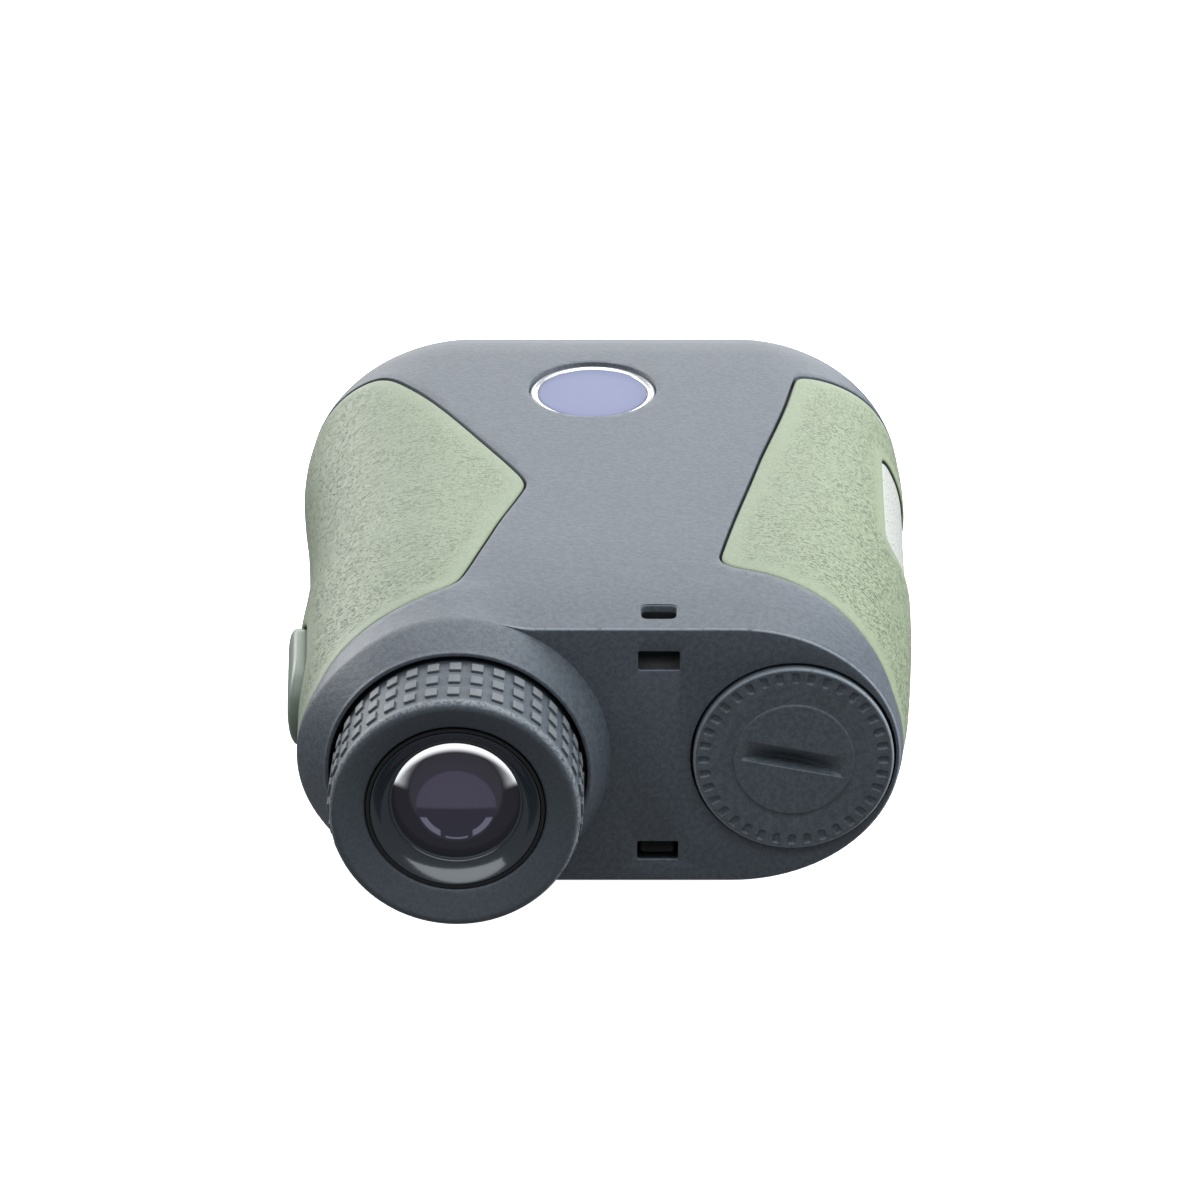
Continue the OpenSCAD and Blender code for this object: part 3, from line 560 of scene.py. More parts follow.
def main_housing():
    shell = body_shell()
    lip = arc((BOSS_BORE + 0.15, -BOSS_OUT + 0.15), 0.15, 180, 270, 3)
    bore = revolved("bore", [(0, 4), (11.4, 4), (11.4, 1.8), (BOSS_BORE, 1.8), *lip,
                             (BOSS_BORE + 0.15, -7), (0, -7)], (EYE_X, EYE_Z))
    mouth = CAP_R + 0.3
    battery = revolved("battery", [(0, 45.6), (10.15, 45.6), (10.15, 2.9), (mouth, 2.9),
                                   *arc((mouth + 0.2, 0.2), 0.2, 180, 270, 3), (mouth + 0.2, -2), (0, -2)],
                       (CAP_X, 0))
    tools = [inner_space(), bore, battery]
    for side in (-1, 1):
        rear_slot = soft_box(4.5, 2.3, 0.12) + (STRAP_X, side * STRAP_Z)
        tools.append(eased_hole("slot", rear_slot, "Y", 5.6, 0, -2, 0.08))
        top_slot = soft_box(3.8, 2.7, 0.75) + (STRAP_X, STRAP_TOP_Y)
        surface = side * (HALF_HEIGHT - STRAP_DROP)
        tools.append(eased_hole("slot", top_slot, "Z", side * 10.4, surface, side * 20, 0.2))
    key_hole = (stadium(18.1, 10.8) + (0, POWER_Y))[:, ::-1]
    tools.append(lofted("key", [(key_hole, -24), (key_hole, -40)], "X"))
    mode_hole = oval(7.2, 7.2, 64) + MODE_AT
    tools.append(eased_hole("mode", mode_hole, "Z", -10, -HALF_HEIGHT, -20, 0.25))
    badge_seat = oval(*BADGE) + BADGE_AT
    tools.append(eased_hole("badge", badge_seat, "Z", HALF_HEIGHT - BADGE_DEPTH, HALF_HEIGHT, 20, 0.12))
    cut(shell, *tools)
    shell.name = "housing_shell"
    return soften(shell)


# ---- rubber grips, label and power button ----

def pad(name, outline, edge, back, step, holes=()):
    """A sheet that follows the skin: edge holds its (inset, depth) rings, back its inner depth."""
    rings = [(shifted(outline, -inward), depth) for inward, depth in edge]
    openings = [[(shifted(hole, inward), depth) for inward, depth in edge] for hole in holes]
    low, high = outline.min(0), outline.max(0)
    front, faces, depths = panel(rings, lattice(low, high, step), 0.55 * step, openings)
    border = clearance(front, [outline, *holes])
    parts = [(skin(front[:, 0], front[:, 1], depths), faces)]
    for loop in (outline, *holes):
        wall = [skin(loop[:, 0], loop[:, 1], edge[0][1]), skin(loop[:, 0], loop[:, 1], back)]
        parts.append((np.vstack(wall), strips(2, len(loop), True)))
    inner_openings = [[(hole, back)] for hole in holes]
    inner, faces, depths = panel([(outline, back)], lattice(low, high, 2.5), 1.2, inner_openings)
    parts.append((skin(inner[:, 0], inner[:, 1], depths), faces))
    points, faces = joined(parts)
    borders = np.zeros(len(points))
    borders[:len(border)] = border
    return soften(raw_mesh(name, placed(points), faces, borders), 40)


GRIP_EDGE = [(0, GRIP_SINK + 0.55), (0.03, GRIP_SINK + 0.3), (0.12, GRIP_SINK + 0.12),
             (0.28, GRIP_SINK + 0.03), (0.5, GRIP_SINK)]


def grips():
    """The two wrap-round grips, one open for the power button and one for the label."""
    left = pad("left_grip", LEFT_GRIP, GRIP_EDGE, GRIP_BACK, 0.7, [shifted(POWER_BUTTON, 0.4)])
    right = pad("right_grip", RIGHT_GRIP, GRIP_EDGE, GRIP_BACK, 0.7, [shifted(LABEL, 0.2)])
    return left, right


def label_sheet():
    edge = [(0, 0.66), (0.08, 0.52), (0.25, 0.46)]
    return pad("label_sheet", LABEL, edge, GRIP_BACK - 0.02, 1.0)


def power_key():
    edge = [(0, 0.2), (0.02, -0.3), (0.12, -0.68), (0.36, -0.94), (0.75, -1.08), (1.4, -1.12)]
    return pad("power_key", POWER_BUTTON, edge, 4.2, 0.8)


# ---- eyepiece ----

def eyecup_body():
    """The cup's turned body, with a rounded shoulder and a soft inner lip."""
    shoulder = arc((EYECUP_R - 0.8, -13.0), 0.8, 0, -104, 10)
    lip = arc((10.15, EYECUP_FACE + 0.75), 0.65, -100, -180, 6)
    return revolved("eyecup_body", [
        (12.22, -0.6), (EYECUP_R - 0.15, -0.6), (EYECUP_R, -0.75), *shoulder, *lip,
        (9.5, -11.6), (9.62, -11.42), (12.22, -11.42)], (EYE_X, EYE_Z), 160)


def bevelled_block(name, size, lip):
    """A small block with bevelled edges, centred on the origin, in metres."""
    mesh = bpy.data.meshes.new(name)
    block = bmesh.new()
    bmesh.ops.create_cube(block, size=1)
    bmesh.ops.scale(block, vec=Vector(size) * MM, verts=block.verts)
    bmesh.ops.bevel(block, geom=list(block.edges), offset=lip * MM, segments=2, profile=0.6, affect="EDGES")
    block.to_mesh(mesh)
    block.free()
    return linked(name, mesh)


def new_node(tree, kind, settings, inputs):
    """A new node: its settings first, then the values or links of its sockets."""
    made = tree.nodes.new(kind)
    for key, value in settings.items():
        setattr(made, key, value)
    for key, value in inputs.items():
        if isinstance(value, bpy.types.NodeSocket):
            tree.links.new(value, made.inputs[key])
        else:
            made.inputs[key].default_value = value
    return made


def around_axis(name, source, sizes):
    """Copies of a small piece in rows around an axis along Y, made by Geometry Nodes.

    sizes holds Count, Radius, Rows, Spacing and Start, which is the middle of the first row, and
    Material where one is wanted. The source's own X points outwards.
    """
    tree = bpy.data.node_groups.new(name, "GeometryNodeTree")
    kinds = {"Count": "NodeSocketInt", "Radius": "NodeSocketFloat", "Rows": "NodeSocketInt",
             "Spacing": "NodeSocketFloat", "Start": "NodeSocketVector", "Piece": "NodeSocketObject",
             "Material": "NodeSocketMaterial"}
    sockets = {key: tree.interface.new_socket(key, in_out="INPUT", socket_type=kind)
               for key, kind in kinds.items()}
    tree.interface.new_socket("Geometry", in_out="OUTPUT", socket_type="NodeSocketGeometry")

    def node(kind, *ordered, settings=None, **named):
        """The outputs of a new node; its sockets are given in order or by name."""
        inputs = dict(enumerate(ordered)) | {key.replace("_", " "): value for key, value in named.items()}
        return new_node(tree, kind, settings or {}, inputs).outputs

    given = node("NodeGroupInput")
    index = node("GeometryNodeInputIndex")[0]
    share = node("ShaderNodeMath", index, given["Count"], settings={"operation": "DIVIDE"})[0]
    turn = node("ShaderNodeMath", share, 2 * math.pi, settings={"operation": "MULTIPLY"})[0]
    outwards = node("ShaderNodeCombineXYZ", X=given["Radius"])[0]
    about_y = {"rotation_type": "Y_AXIS"}
    spun = node("ShaderNodeVectorRotate", settings=about_y, Vector=outwards, Angle=turn)[0]
    spots = node("GeometryNodePoints", Count=given["Count"], Radius=MM)[0]
    spread = node("GeometryNodeSetPosition", Geometry=spots, Position=spun)[0]
    shape = node("GeometryNodeObjectInfo", Object=given["Piece"])["Geometry"]
    angle = node("ShaderNodeCombineXYZ", Y=turn)[0]
    ring = node("GeometryNodeInstanceOnPoints", Points=spread, Instance=shape, Rotation=angle)[0]
    step = node("ShaderNodeCombineXYZ", Y=given["Spacing"])[0]
    line = node("GeometryNodeMeshLine", Count=given["Rows"], Start_Location=given["Start"], Offset=step)[0]
    rows = node("GeometryNodeInstanceOnPoints", Points=line, Instance=ring)[0]
    real = node("GeometryNodeRealizeInstances", Geometry=rows)[0]
    finished = node("GeometryNodeSetMaterial", Geometry=real, Material=given["Material"])[0]
    node("NodeGroupOutput", finished)

    piece = linked(name, bpy.data.meshes.new(name))
    modifier = piece.modifiers.new(name, "NODES")
    modifier.node_group = tree
    for key, value in {**sizes, "Piece": source}.items():
        modifier[sockets[key].identifier] = value
    baked(piece)
    bpy.data.objects.remove(source)
    return piece


def eyecup(finish):
    """The cup with three rows of studs."""
    cup = eyecup_body()
    count = 36
    width = 2 * math.pi * EYECUP_R / count * 0.56
    stud = bevelled_block("stud", (1.0, 1.7, width), 0.16)
    studs = around_axis("stud_rows", stud, {
        "Count": count, "Radius": (EYECUP_R - 0.2) * MM, "Rows": 3, "Spacing": 2.95 * MM,
        "Start": placed((EYE_X, -11.3, EYE_Z))[0].tolist(), "Material": finish})
    return merged("eyecup_rubber", [cup, studs])


def merged(name, pieces):
    """Several pieces as one mesh."""
    shape = bmesh.new()
    for piece in pieces:
        shape.from_mesh(piece.data)
        bpy.data.objects.remove(piece)
    mesh = bpy.data.meshes.new(name)
    shape.to_mesh(mesh)
    shape.free()
    return soften(linked(name, mesh), 32)


def eyepiece_retainer():
    """The glossy cone between the eyecup and the eye lens."""
    outline = ((8.95, 0.3), (8.93, 0.22), (8.86, 0.2), (8.78, 0.26), (8.1, 0.95), (7.3, 1.86), (7.2, 1.9),
               (7.12, 1.9), (7.08, 2.0), (6.96, 2.12), (6.86, 2.14), (6.8, 2.2), (6.8, 2.5), (7.9, 2.75),
               (8.95, 2.75))
    points = [(r, EYECUP_FACE + sunk) for r, sunk in outline]
    return soften(revolved("lens_retainer_ring", points, (EYE_X, EYE_Z), 160), 40)


def lens(name, x, y0, y1, radius, rear_bulge, front_bulge):
    """A lens along Y with two spherical faces and a ground edge from y0 to y1."""
    def face(level, bulge, way):
        ball = (radius ** 2 + bulge ** 2) / (2 * bulge)
        radii = radius * np.sin(np.linspace(0, math.pi / 2, 16))
        return [(r, level + way * (bulge - ball + math.sqrt(ball ** 2 - r ** 2))) for r in radii]
    outline = face(y0, rear_bulge, -1) + face(y1, front_bulge, 1)[::-1]
    return soften(revolved(name, outline, (x, EYE_Z), 96, closed=False), 40)


# ---- battery cap ----

def battery_cap():
    """The cap with a ring of dimples, a coin slot and a hollow threaded skirt."""
    dished = ((0, 0), (6.42, 0), (6.52, 0.06), (6.6, 0.2), (6.85, 0.22), (7.3, 0.16), (7.6, 0.14),
              (CAP_R - 0.32, 0.12))
    rim = arc((CAP_R - 0.3, CAP_FACE + 0.42), 0.3, -90, 0, 4)
    skirt = [(CAP_R, 2.6), (8.2, 2.6), (8.2, 3.9), (9.1, 3.9), (9.1, 7.0), (8.7, 7.4), (6.5, 7.4),
             (6.5, 2), (0, 2)]
    face = [(r, CAP_FACE + sunk) for r, sunk in dished]
    cap = revolved("battery_cap_head", [*face, *rim, *skirt], (CAP_X, 0), 180)
    groove = rounded([(-0.42, -0.62, 0.41), (0.42, -0.62, 0.41), (0.42, 0.62, 0.2), (-0.42, 0.62, 0.2)], 0.12)
    levels = [(shifted(groove, wider), depth) for wider, depth in (
        (0.12, -0.4), (0.05, -0.02), (0, 0.06), (-0.1, 0.2), (-0.2, 0.25))]
    notch = lofted("notch", levels, "Y")
    # placed() moved the notch off the origin, about which its copies are set out
    to_origin = Matrix.Translation((0, -REAR * MM, -MID * MM))
    notch.data.transform(Matrix.Rotation(math.pi / 2, 4, "Y") @ to_origin)
    notches = around_axis("notches", notch, {
        "Count": 36, "Radius": (CAP_R - 1.15) * MM, "Rows": 1, "Spacing": 0.0,
        "Start": placed((CAP_X, CAP_FACE + 0.12, 0))[0].tolist()})
    return soften(cut(cap, notches, coin_slot()), 26)


def coin_slot():
    """A slot with a steep lower wall and a long slope above it; its floor follows a coin's rim."""
    coin, deepest, low = 9.2, 1.95, -1.02
    rows = []
    for x in np.linspace(-5.7, 5.7, 41):
        sunk = math.sqrt(max(coin ** 2 - x ** 2, 0)) - (coin - deepest)
        depth = max(sunk, 0.02)
        rows.append([(x, -0.6, low - 0.12), (x, 0, low - 0.06), (x, 0.07, low), (x, depth, low + 0.22),
                     (x, depth, low + 0.5), (x, depth * 0.75, low + 1.05), (x, depth * 0.25, low + 1.85),
                     (x, 0.02, low + 2.35), (x, -0.6, low + 3.4)])
    points = np.array(rows).reshape(-1, 3)
    turn = math.radians(11)
    tilted = points.copy()
    tilted[:, 0] = CAP_X + points[:, 0] * math.cos(turn) + points[:, 2] * math.sin(turn)
    tilted[:, 2] = -points[:, 0] * math.sin(turn) + points[:, 2] * math.cos(turn)
    tilted[:, 1] += CAP_FACE
    count = len(rows[0])
    faces = strips(len(rows), count, True)
    faces += [tuple(range(count)), tuple(range(len(points) - count, len(points)))]
    return raw_mesh("coin", placed(tilted), faces)


# ---- badge ----

def badge():
    """A polished oval rim with a plain enamel face, let into the top."""
    floor = HALF_HEIGHT - BADGE_DEPTH + 0.03
    width, length = BADGE[0] - 0.24, BADGE[1] - 0.24

    def ring(inward):
        return oval(width - 2 * inward, length - 2 * inward) + BADGE_AT

    def stepped(name, steps):
        return soften(lofted(name, [(ring(inward), floor + up) for inward, up in steps], "Z"), 50)

    rim = stepped("badge_ring", (
        (0, 0), (0, 0.5), (0.08, 0.62), (0.3, 0.7), (0.6, 0.68), (0.85, 0.6), (0.98, 0.46), (1.0, 0.3)))
    face = stepped("badge_enamel", (
        (1.03, 0.31), (1.03, 0.5), (1.1, 0.56), (1.35, 0.585), (2.4, 0.62), (4.5, 0.65), (6.5, 0.66)))
    return rim, face


# ---- front cover ----

def front_cover():
    """The cover that holds the objective and the laser's lens, with a spigot inside the housing."""
    around = np.linspace(SEAM, SEAM + AROUND, int(AROUND) + 1)
    start = COVER_Y + 0.1
    rows = [skin(around, start, JOINT), skin(around, start + 0.05, 0.04)]
    rows += [skin(around, y, 0) for y in np.linspace(start + 0.16, LENGTH - 0.35, 8)]
    rows += [skin(around, LENGTH - 0.35 * (1 - math.sin(a)), 0.5 * (1 - math.cos(a)))
             for a in np.radians((25, 50, 75, 90))]
    count = len(around)
    faces = strips(len(rows), count, False)
    faces += [tuple(range(count - 1)), tuple(range((len(rows) - 1) * count, len(rows) * count - 1))]
    cover = raw_mesh("front_cover_shell", placed(np.vstack(rows)), faces)
    inside_cavity = CAVITY_Z - 0.1
    ring = stadium(2 * (CAVITY_X + inside_cavity), 2 * inside_cavity, 1.0)[:, ::-1]
    spigot = lofted("spigot", [(ring, COVER_Y - 3.2), (ring, COVER_Y + 0.9)], "Y")
    cut(cover, spigot, operation="UNION")
    behind, seat, beyond = 84, COVER_Y + 0.4, LENGTH + 2
    tools = []
    for x, barrel, mouth, flare in ((EYE_X, 12.4, 10.5, 12.25), (LASER_X, 8.9, 7.5, 8.9)):
        tools.append(revolved("funnel", [
            (0, behind), (barrel, behind), (barrel, seat), (mouth, seat), (mouth, seat + 0.2),
            (mouth + 0.25, seat + 0.35), (flare - 0.12, LENGTH - 0.28), (flare, LENGTH - 0.1),
            (flare + 0.2, LENGTH), (flare + 0.2, beyond), (0, beyond)], (x, 0)))
    for x, z in SCREWS:
        tools.append(revolved("screw_hole", [
            (0, behind), (1.15, behind), (1.15, LENGTH - 1.4), (1.8, LENGTH - 1.4), (1.8, LENGTH - 0.1),
            (1.92, LENGTH), (1.92, beyond), (0, beyond)], (x, z), 48))
    return soften(cut(cover, *tools), 28)


def screw(x, z):
    """A cover screw with a rounded head and a cross recess."""
    top = LENGTH - 0.2
    outline = ((0, 0), (0.9, 0.02), (1.35, 0.12), (1.6, 0.32), (1.7, 0.6), (1.7, 1.14), (0.78, 1.15),
               (0.78, 9.5), (0.5, 9.9), (0, 9.9))
    head = revolved("screw", [(r, top - sunk) for r, sunk in outline], (0, 0), 40)
    for length, width in ((1.9, 0.42), (0.42, 1.9)):
        inner = soft_box(length * 0.62, width * 0.62, 0.05, 0.1)
        outer = soft_box(length, width, 0.05, 0.1)
        count = min(len(inner), len(outer))
        levels = [(evened(inner, count=count), top - 0.75), (evened(outer, count=count), top + 0.2)]
        cut(head, lofted("cross", levels, "Y"))
    head.data.transform(Matrix.Translation((x * MM, 0, z * MM)))
    return head


def cover_screws():
    return merged("cover_screw_set", [screw(x, z) for x, z in SCREWS])


def mode_key():
    """The small button in the underside, with a dished face."""
    face = -HALF_HEIGHT + 0.4
    levels = [(oval(2 * r, 2 * r, 64) + MODE_AT, face + sunk) for r, sunk in (
        (0.3, 0.32), (1.4, 0.3), (2.2, 0.2), (2.7, 0.06), (3.0, 0), (3.25, 0.06), (3.38, 0.25), (3.4, 0.5),
        (3.4, 2.6), (4.4, 2.6), (4.4, 3.5))]
    return soften(lofted("mode_key", levels, "Z"), 35)


# ---- finishes ----

class Amount:
    """A number on its way through a finish; arithmetic on it adds Math nodes."""

    def __init__(self, finish, socket):
        self.finish = finish
        self.socket = socket

    def reckon(self, operation, *values):
        return self.finish.node("ShaderNodeMath", {"operation": operation}, dict(enumerate(values)))

    def __add__(self, other):
        return self.reckon("ADD", self, other)

    def __radd__(self, other):
        return self.reckon("ADD", other, self)

    def __sub__(self, other):
        return self.reckon("SUBTRACT", self, other)

    def __rsub__(self, other):
        return self.reckon("SUBTRACT", other, self)

    def __mul__(self, other):
        return self.reckon("MULTIPLY", self, other)

    def __pow__(self, other):
        return self.reckon("POWER", self, other)

    def eased(self, low, high):
        """0 below low, 1 above high, and a smooth rise between."""
        return self.finish.node("ShaderNodeMapRange", {"interpolation_type": "SMOOTHSTEP"},
                                {"Value": self, "From Min": low, "From Max": high})


class Finish:
    """A procedural material. The scales of its patterns are in turns per millimetre."""

    def __init__(self, name):
        self.material = bpy.data.materials.new(name)
        self.material.use_nodes = True
        self.tree = self.material.node_tree
        self.tree.nodes.clear()
        place = self.node("ShaderNodeTexCoord", output="Object")
        self.place = self.node("ShaderNodeVectorMath", {"operation": "SCALE"}, {0: place, "Scale": 1 / MM})

    def node(self, kind, settings=None, inputs=None, output=0):
        """One output of a new node, whose inputs are plain values or other outputs."""
        sockets = {key: value.socket if isinstance(value, Amount) else value
                   for key, value in (inputs or {}).items()}
        made = new_node(self.tree, kind, settings or {}, sockets)
        return Amount(self, made.outputs[output]) if made.outputs else made

    def stretched(self, size, turn=(0, 0, 0), place=None):
        """The place, turned and then scaled along each axis."""
        return self.node("ShaderNodeMapping", {"vector_type": "POINT"},
                         {"Vector": place or self.place, "Scale": size, "Rotation": turn})

    def noise(self, scale, detail=2.0, roughness=0.5, place=None, distortion=0.0):
        return self.node("ShaderNodeTexNoise", {}, {
            "Vector": place or self.place, "Scale": scale, "Detail": detail, "Roughness": roughness,
            "Distortion": distortion})

    def blend(self, factor, first, second):
        """One colour turning into another."""
        return self.node("ShaderNodeMix", {"data_type": "RGBA"}, {0: factor, 6: first, 7: second}, 2)

    def bump(self, height, depth, under=None):
        """A relief of that depth in millimetres."""
        inputs = {"Height": height, "Distance": depth * MM, "Strength": 1.0}
        if under:
            inputs["Normal"] = under
        return self.node("ShaderNodeBump", {}, inputs)

    def along(self, axis):
        """The instrument's own place along one axis, in millimetres."""
        shift = {"X": 0, "Y": REAR, "Z": MID}[axis]
        return self.node("ShaderNodeSeparateXYZ", {}, {0: self.place}, axis) - shift

    def from_axis(self, x):
        """Distance from the line along Y at x, in millimetres."""
        return distance(self.along("X") - x, self.along("Z"))

    def border(self):
        """Distance from the piece's own edge, in millimetres."""
        return self.node("ShaderNodeAttribute", {"attribute_name": "border"}, {}, "Fac")

    def surface(self, **sockets):
        """The finished surface; a socket's spaces are written as underscores."""
        values = {key.replace("_", " "): value for key, value in sockets.items()}
        shader = self.node("ShaderNodeBsdfPrincipled", {}, values)
        self.node("ShaderNodeOutputMaterial", {}, {"Surface": shader})
        return self.material


def distance(first, second):
    return (first * first + second * second) ** 0.5


def rgb(red, green, blue):
    return (red, green, blue, 1.0)


def shade(tone, share):
    """A tone made darker or lighter by a share."""
    return rgb(*(share * c for c in tone))


def spark_grain(finish, size):
    """The fine sparkling grain of a spark-eroded mould, in grains of that size."""
    coarse = finish.noise(0.55 / size, 2.0, 0.6)
    fine = finish.noise(1.3 / size, 1.0, 0.5)
    return coarse * 0.65 + fine * 0.35


def moulded_plastic(name, tone, grain, depth, roughness=0.5, edge=None, hollow=None):
    """Matt moulded plastic with a fine spark grain; edge masks polished edges that get a painted highlight,
    hollow masks painted shade in hollows.
    """
    finish = Finish(name)
    relief = spark_grain(finish, grain)
    cloud = finish.noise(0.06, 3.0, 0.5)
    speckle = cloud * 0.2 + relief.eased(0.36, 0.64) * 0.8
    colour = finish.blend(speckle, shade(tone, 0.78), shade(tone, 1.24))
    rough = roughness - 0.06 + relief * 0.12
    if edge:
        # polished edges: the lighter colour is a painted highlight, the lower roughness is real polish
        polish_and_highlight = edge(finish) * relief.eased(0.2, 0.5)
        colour = finish.blend(polish_and_highlight, colour, rgb(*(1.9 * c + 0.05 for c in tone)))
        rough = rough - polish_and_highlight * 0.18
    # painted shade in the hollows
    if hollow:
        colour = finish.blend(hollow(finish), colour, shade(tone, 0.1))
    return finish.surface(Base_Color=colour, Roughness=rough, Normal=finish.bump(relief, depth))


def rear_edge(finish):
    """The narrow rounded edge between the housing's skin and its rear face, which gets a painted highlight.
    """
    back = finish.along("Y")
    return back.eased(0.01, 0.07) * (1 - back.eased(0.16, 0.3)) * (finish.along("X") - EYE_X).eased(3, 8)


def strap_hollows(finish):
    """The channels behind the strap slots, which get painted shade."""
    across = finish.along("X") - STRAP_X
    high = finish.along("Z")
    high = (high * high) ** 0.5
    back = finish.along("Y")
    band = high.eased(9, 9.3) * (1 - high.eased(HALF_HEIGHT - 1.45, HALF_HEIGHT - 1.25))
    return band * (1 - (across * across).eased(5.8, 6.8)) * back.eased(0.25, 0.6) * (1 - back.eased(6, 7))


def cap_rim(finish):
    """The rounded front rim of the battery cap, which gets a painted highlight."""
    behind = finish.along("Y") - CAP_FACE
    return finish.from_axis(CAP_X).eased(CAP_R - 0.3, CAP_R - 0.2) * (1 - behind.eased(0.45, 0.75))


def grip_rubber():
    """Green rubber with a smooth border and short fine creases inside it; painted shade darkens the creases
    and the groove along the edge, and the sides are painted lighter.
    """
    finish = Finish("grip_rubber")
    wander = finish.noise(0.5, 2.0, 0.5)
    swayed = finish.node("ShaderNodeVectorMath", {"operation": "ADD"}, {0: finish.place, 1: wander * 1.6})
    lengthwise = finish.stretched((0.72, 1.25, 0.95), (0, 0, 0.12), swayed)
    folds = finish.noise(2.7, 2.0, 0.55, lengthwise, 0.9)
    crease = 1 - folds.eased(0.36, 0.47)
    swelling = finish.noise(1.6, 2.0, 0.5, lengthwise)
    sideways = (HALF_HEIGHT - finish.along("Z")).eased(0.4, 7.0)
    patch = finish.noise(0.13, 2.0, 0.5).eased(0.35, 0.7)
    outline = finish.border()
    strength = outline.eased(0.7, 3.6) * (0.4 + patch * 0.24 + sideways * 0.4)
    # painted shade in the creases, which also roughens them
    hollow = strength * crease
    soft = finish.noise(3.2, 2.0, 0.6)
    # the sides painted lighter, standing in for light from the sides
    tone = soft.eased(0.35, 0.65) * 0.6 + wander * 0.4 + sideways * 0.25
    base = finish.blend(tone, rgb(0.128, 0.158, 0.104), rgb(0.178, 0.212, 0.146))
    colour = finish.blend(hollow * 0.75, base, rgb(0.04, 0.052, 0.034))
    # painted shade: a thin dark line along the edge, where the groove to the housing lies in shade
    colour = finish.blend(outline.eased(0.03, 0.14), rgb(0.006, 0.008, 0.006), colour)
    relief = finish.bump(soft, 0.03)
    relief = finish.bump(strength * (swelling * 0.4 - crease * 0.6), 0.25, relief)
    return finish.surface(Base_Color=colour, Roughness=0.55 + hollow * 0.2, Normal=relief)


def eyecup_rubber():
    """Dark rubber, lighter on the studs' tops, with a painted highlight along the rounded shoulder."""
    finish = Finish("eyecup_rubber")
    relief = spark_grain(finish, 0.22)
    far = finish.from_axis(EYE_X)
    stud_top = far.eased(EYECUP_R + 0.12, EYECUP_R + 0.28)
    tone = finish.blend(relief.eased(0.3, 0.7), rgb(0.042, 0.051, 0.062), rgb(0.06, 0.072, 0.085))
    colour = finish.blend(stud_top * (0.35 + relief * 0.4), tone, rgb(0.13, 0.14, 0.145))
    back = finish.along("Y")
    # painted highlight along the rounded shoulder
    shoulder = far.eased(EYECUP_R - 0.45, EYECUP_R - 0.2) * (1 - back.eased(EYECUP_FACE - 0.6, EYECUP_FACE))
    shoulder = shoulder * relief.eased(0.35, 0.6)
    colour = finish.blend(shoulder * 0.7, colour, rgb(0.17, 0.185, 0.2))
    return finish.surface(Base_Color=colour, Roughness=0.5 + relief * 0.16, Normal=finish.bump(relief, 0.03))


def eye_glass():
    """The dark eye lens, painted and glowing by its own emission: a painted white reflection above, the stop
    and field behind it painted in, lighter above and darker below, and thin painted reflections low down.
    """
    finish = Finish("eye_glass")
    x = finish.along("X") - EYE_X
    z = finish.along("Z")
    # painted reflection: a white crescent of light above, with painted haze inside it
    inner = distance(x, z - 0.8) - 4.9
    white = distance(x, z + 1.3).eased(6.72, 7.4)
    haze = inner.eased(-0.05, 1.6) * 0.42
    rim = (white + haze * (1 - white)) * (z - inner * 0.35).eased(0.8, 1.7)
    # the stop and the field behind the lens painted in, the field with painted light above and painted shade
    # below
    barrel = 1 - distance(x, z - 0.8).eased(4.7, 5.1)
    field = 1 - distance(x, z + 0.8).eased(4.1, 4.35)
    upper = z.eased(-1.25, -0.75)
    # painted reflection: thin bright arcs low down, wider at the sides
    bow = distance(x, z + 0.6)
    sides = (x * x).eased(2.6, 3.2) * bow.eased(3.4, 3.55)
    middle = (1 - (x * x).eased(1.2, 1.6)) * bow.eased(3.85, 3.95)
    low_arc = (sides + middle) * (1 - bow.eased(4.05, 4.2)) * (1 - z.eased(-2.2, -2.0))
    tone = finish.blend(barrel, rgb(0.012, 0.012, 0.016), rgb(0.026, 0.0242, 0.032))
    tone = finish.blend(field * upper, tone, rgb(0.043, 0.038, 0.058))
    tone = finish.blend(field * (1 - upper), tone, rgb(0.019, 0.018, 0.028))
    tone = finish.blend(low_arc * 0.8, tone, rgb(0.11, 0.11, 0.15))
    tone = finish.blend(rim, tone, rgb(0.96, 0.97, 1.0))
    # the painted tone is also the emission, so the lens glows
    return finish.surface(Base_Color=tone, Emission_Color=tone, Emission_Strength=0.9,
                          Roughness=rim * 0.3 + 0.03, IOR=1.52, Specular_IOR_Level=0.2)


def front_glass(name, x, radius):
    """A coated front lens with its barrel painted in: a painted dark depth in the middle, a lighter painted
    ring around it and a painted purple sheen rising towards the top.
    """
    finish = Finish(name)
    far = finish.from_axis(x)
    # painted depth: dark in the middle, with a lighter painted ring around it
    depth = 1 - far.eased(radius * 0.45, radius * 0.62)
    collar = far.eased(radius * 0.6, radius * 0.66) * (1 - far.eased(radius * 0.8, radius * 0.98))
    # painted purple sheen rising towards the top
    sheen = (finish.along("Z") + radius * 0.2).eased(-0.7 * radius, 0.9 * radius)
    tone = finish.blend(depth, rgb(0.02, 0.014, 0.03), rgb(0.006, 0.005, 0.012))
    tone = finish.blend(collar * 0.7, tone, rgb(0.05, 0.036, 0.075))
    tone = finish.blend(sheen * 0.35, tone, rgb(0.2, 0.12, 0.32))
    return finish.surface(Base_Color=tone, Roughness=sheen * 0.02 + 0.03, IOR=1.52, Coat_Weight=0.4,
                          Coat_Roughness=0.02, Specular_Tint=rgb(0.75, 0.6, 1.0))


def clear_glass(name, tint):
    """Plain uncoated glass."""
    finish = Finish(name)
    breath = finish.noise(0.08, 2.0, 0.5)
    return finish.surface(Base_Color=finish.blend(breath, rgb(*tint), shade(tint, 0.96)),
                          Roughness=breath * 0.02, IOR=1.52, Transmission_Weight=1.0)


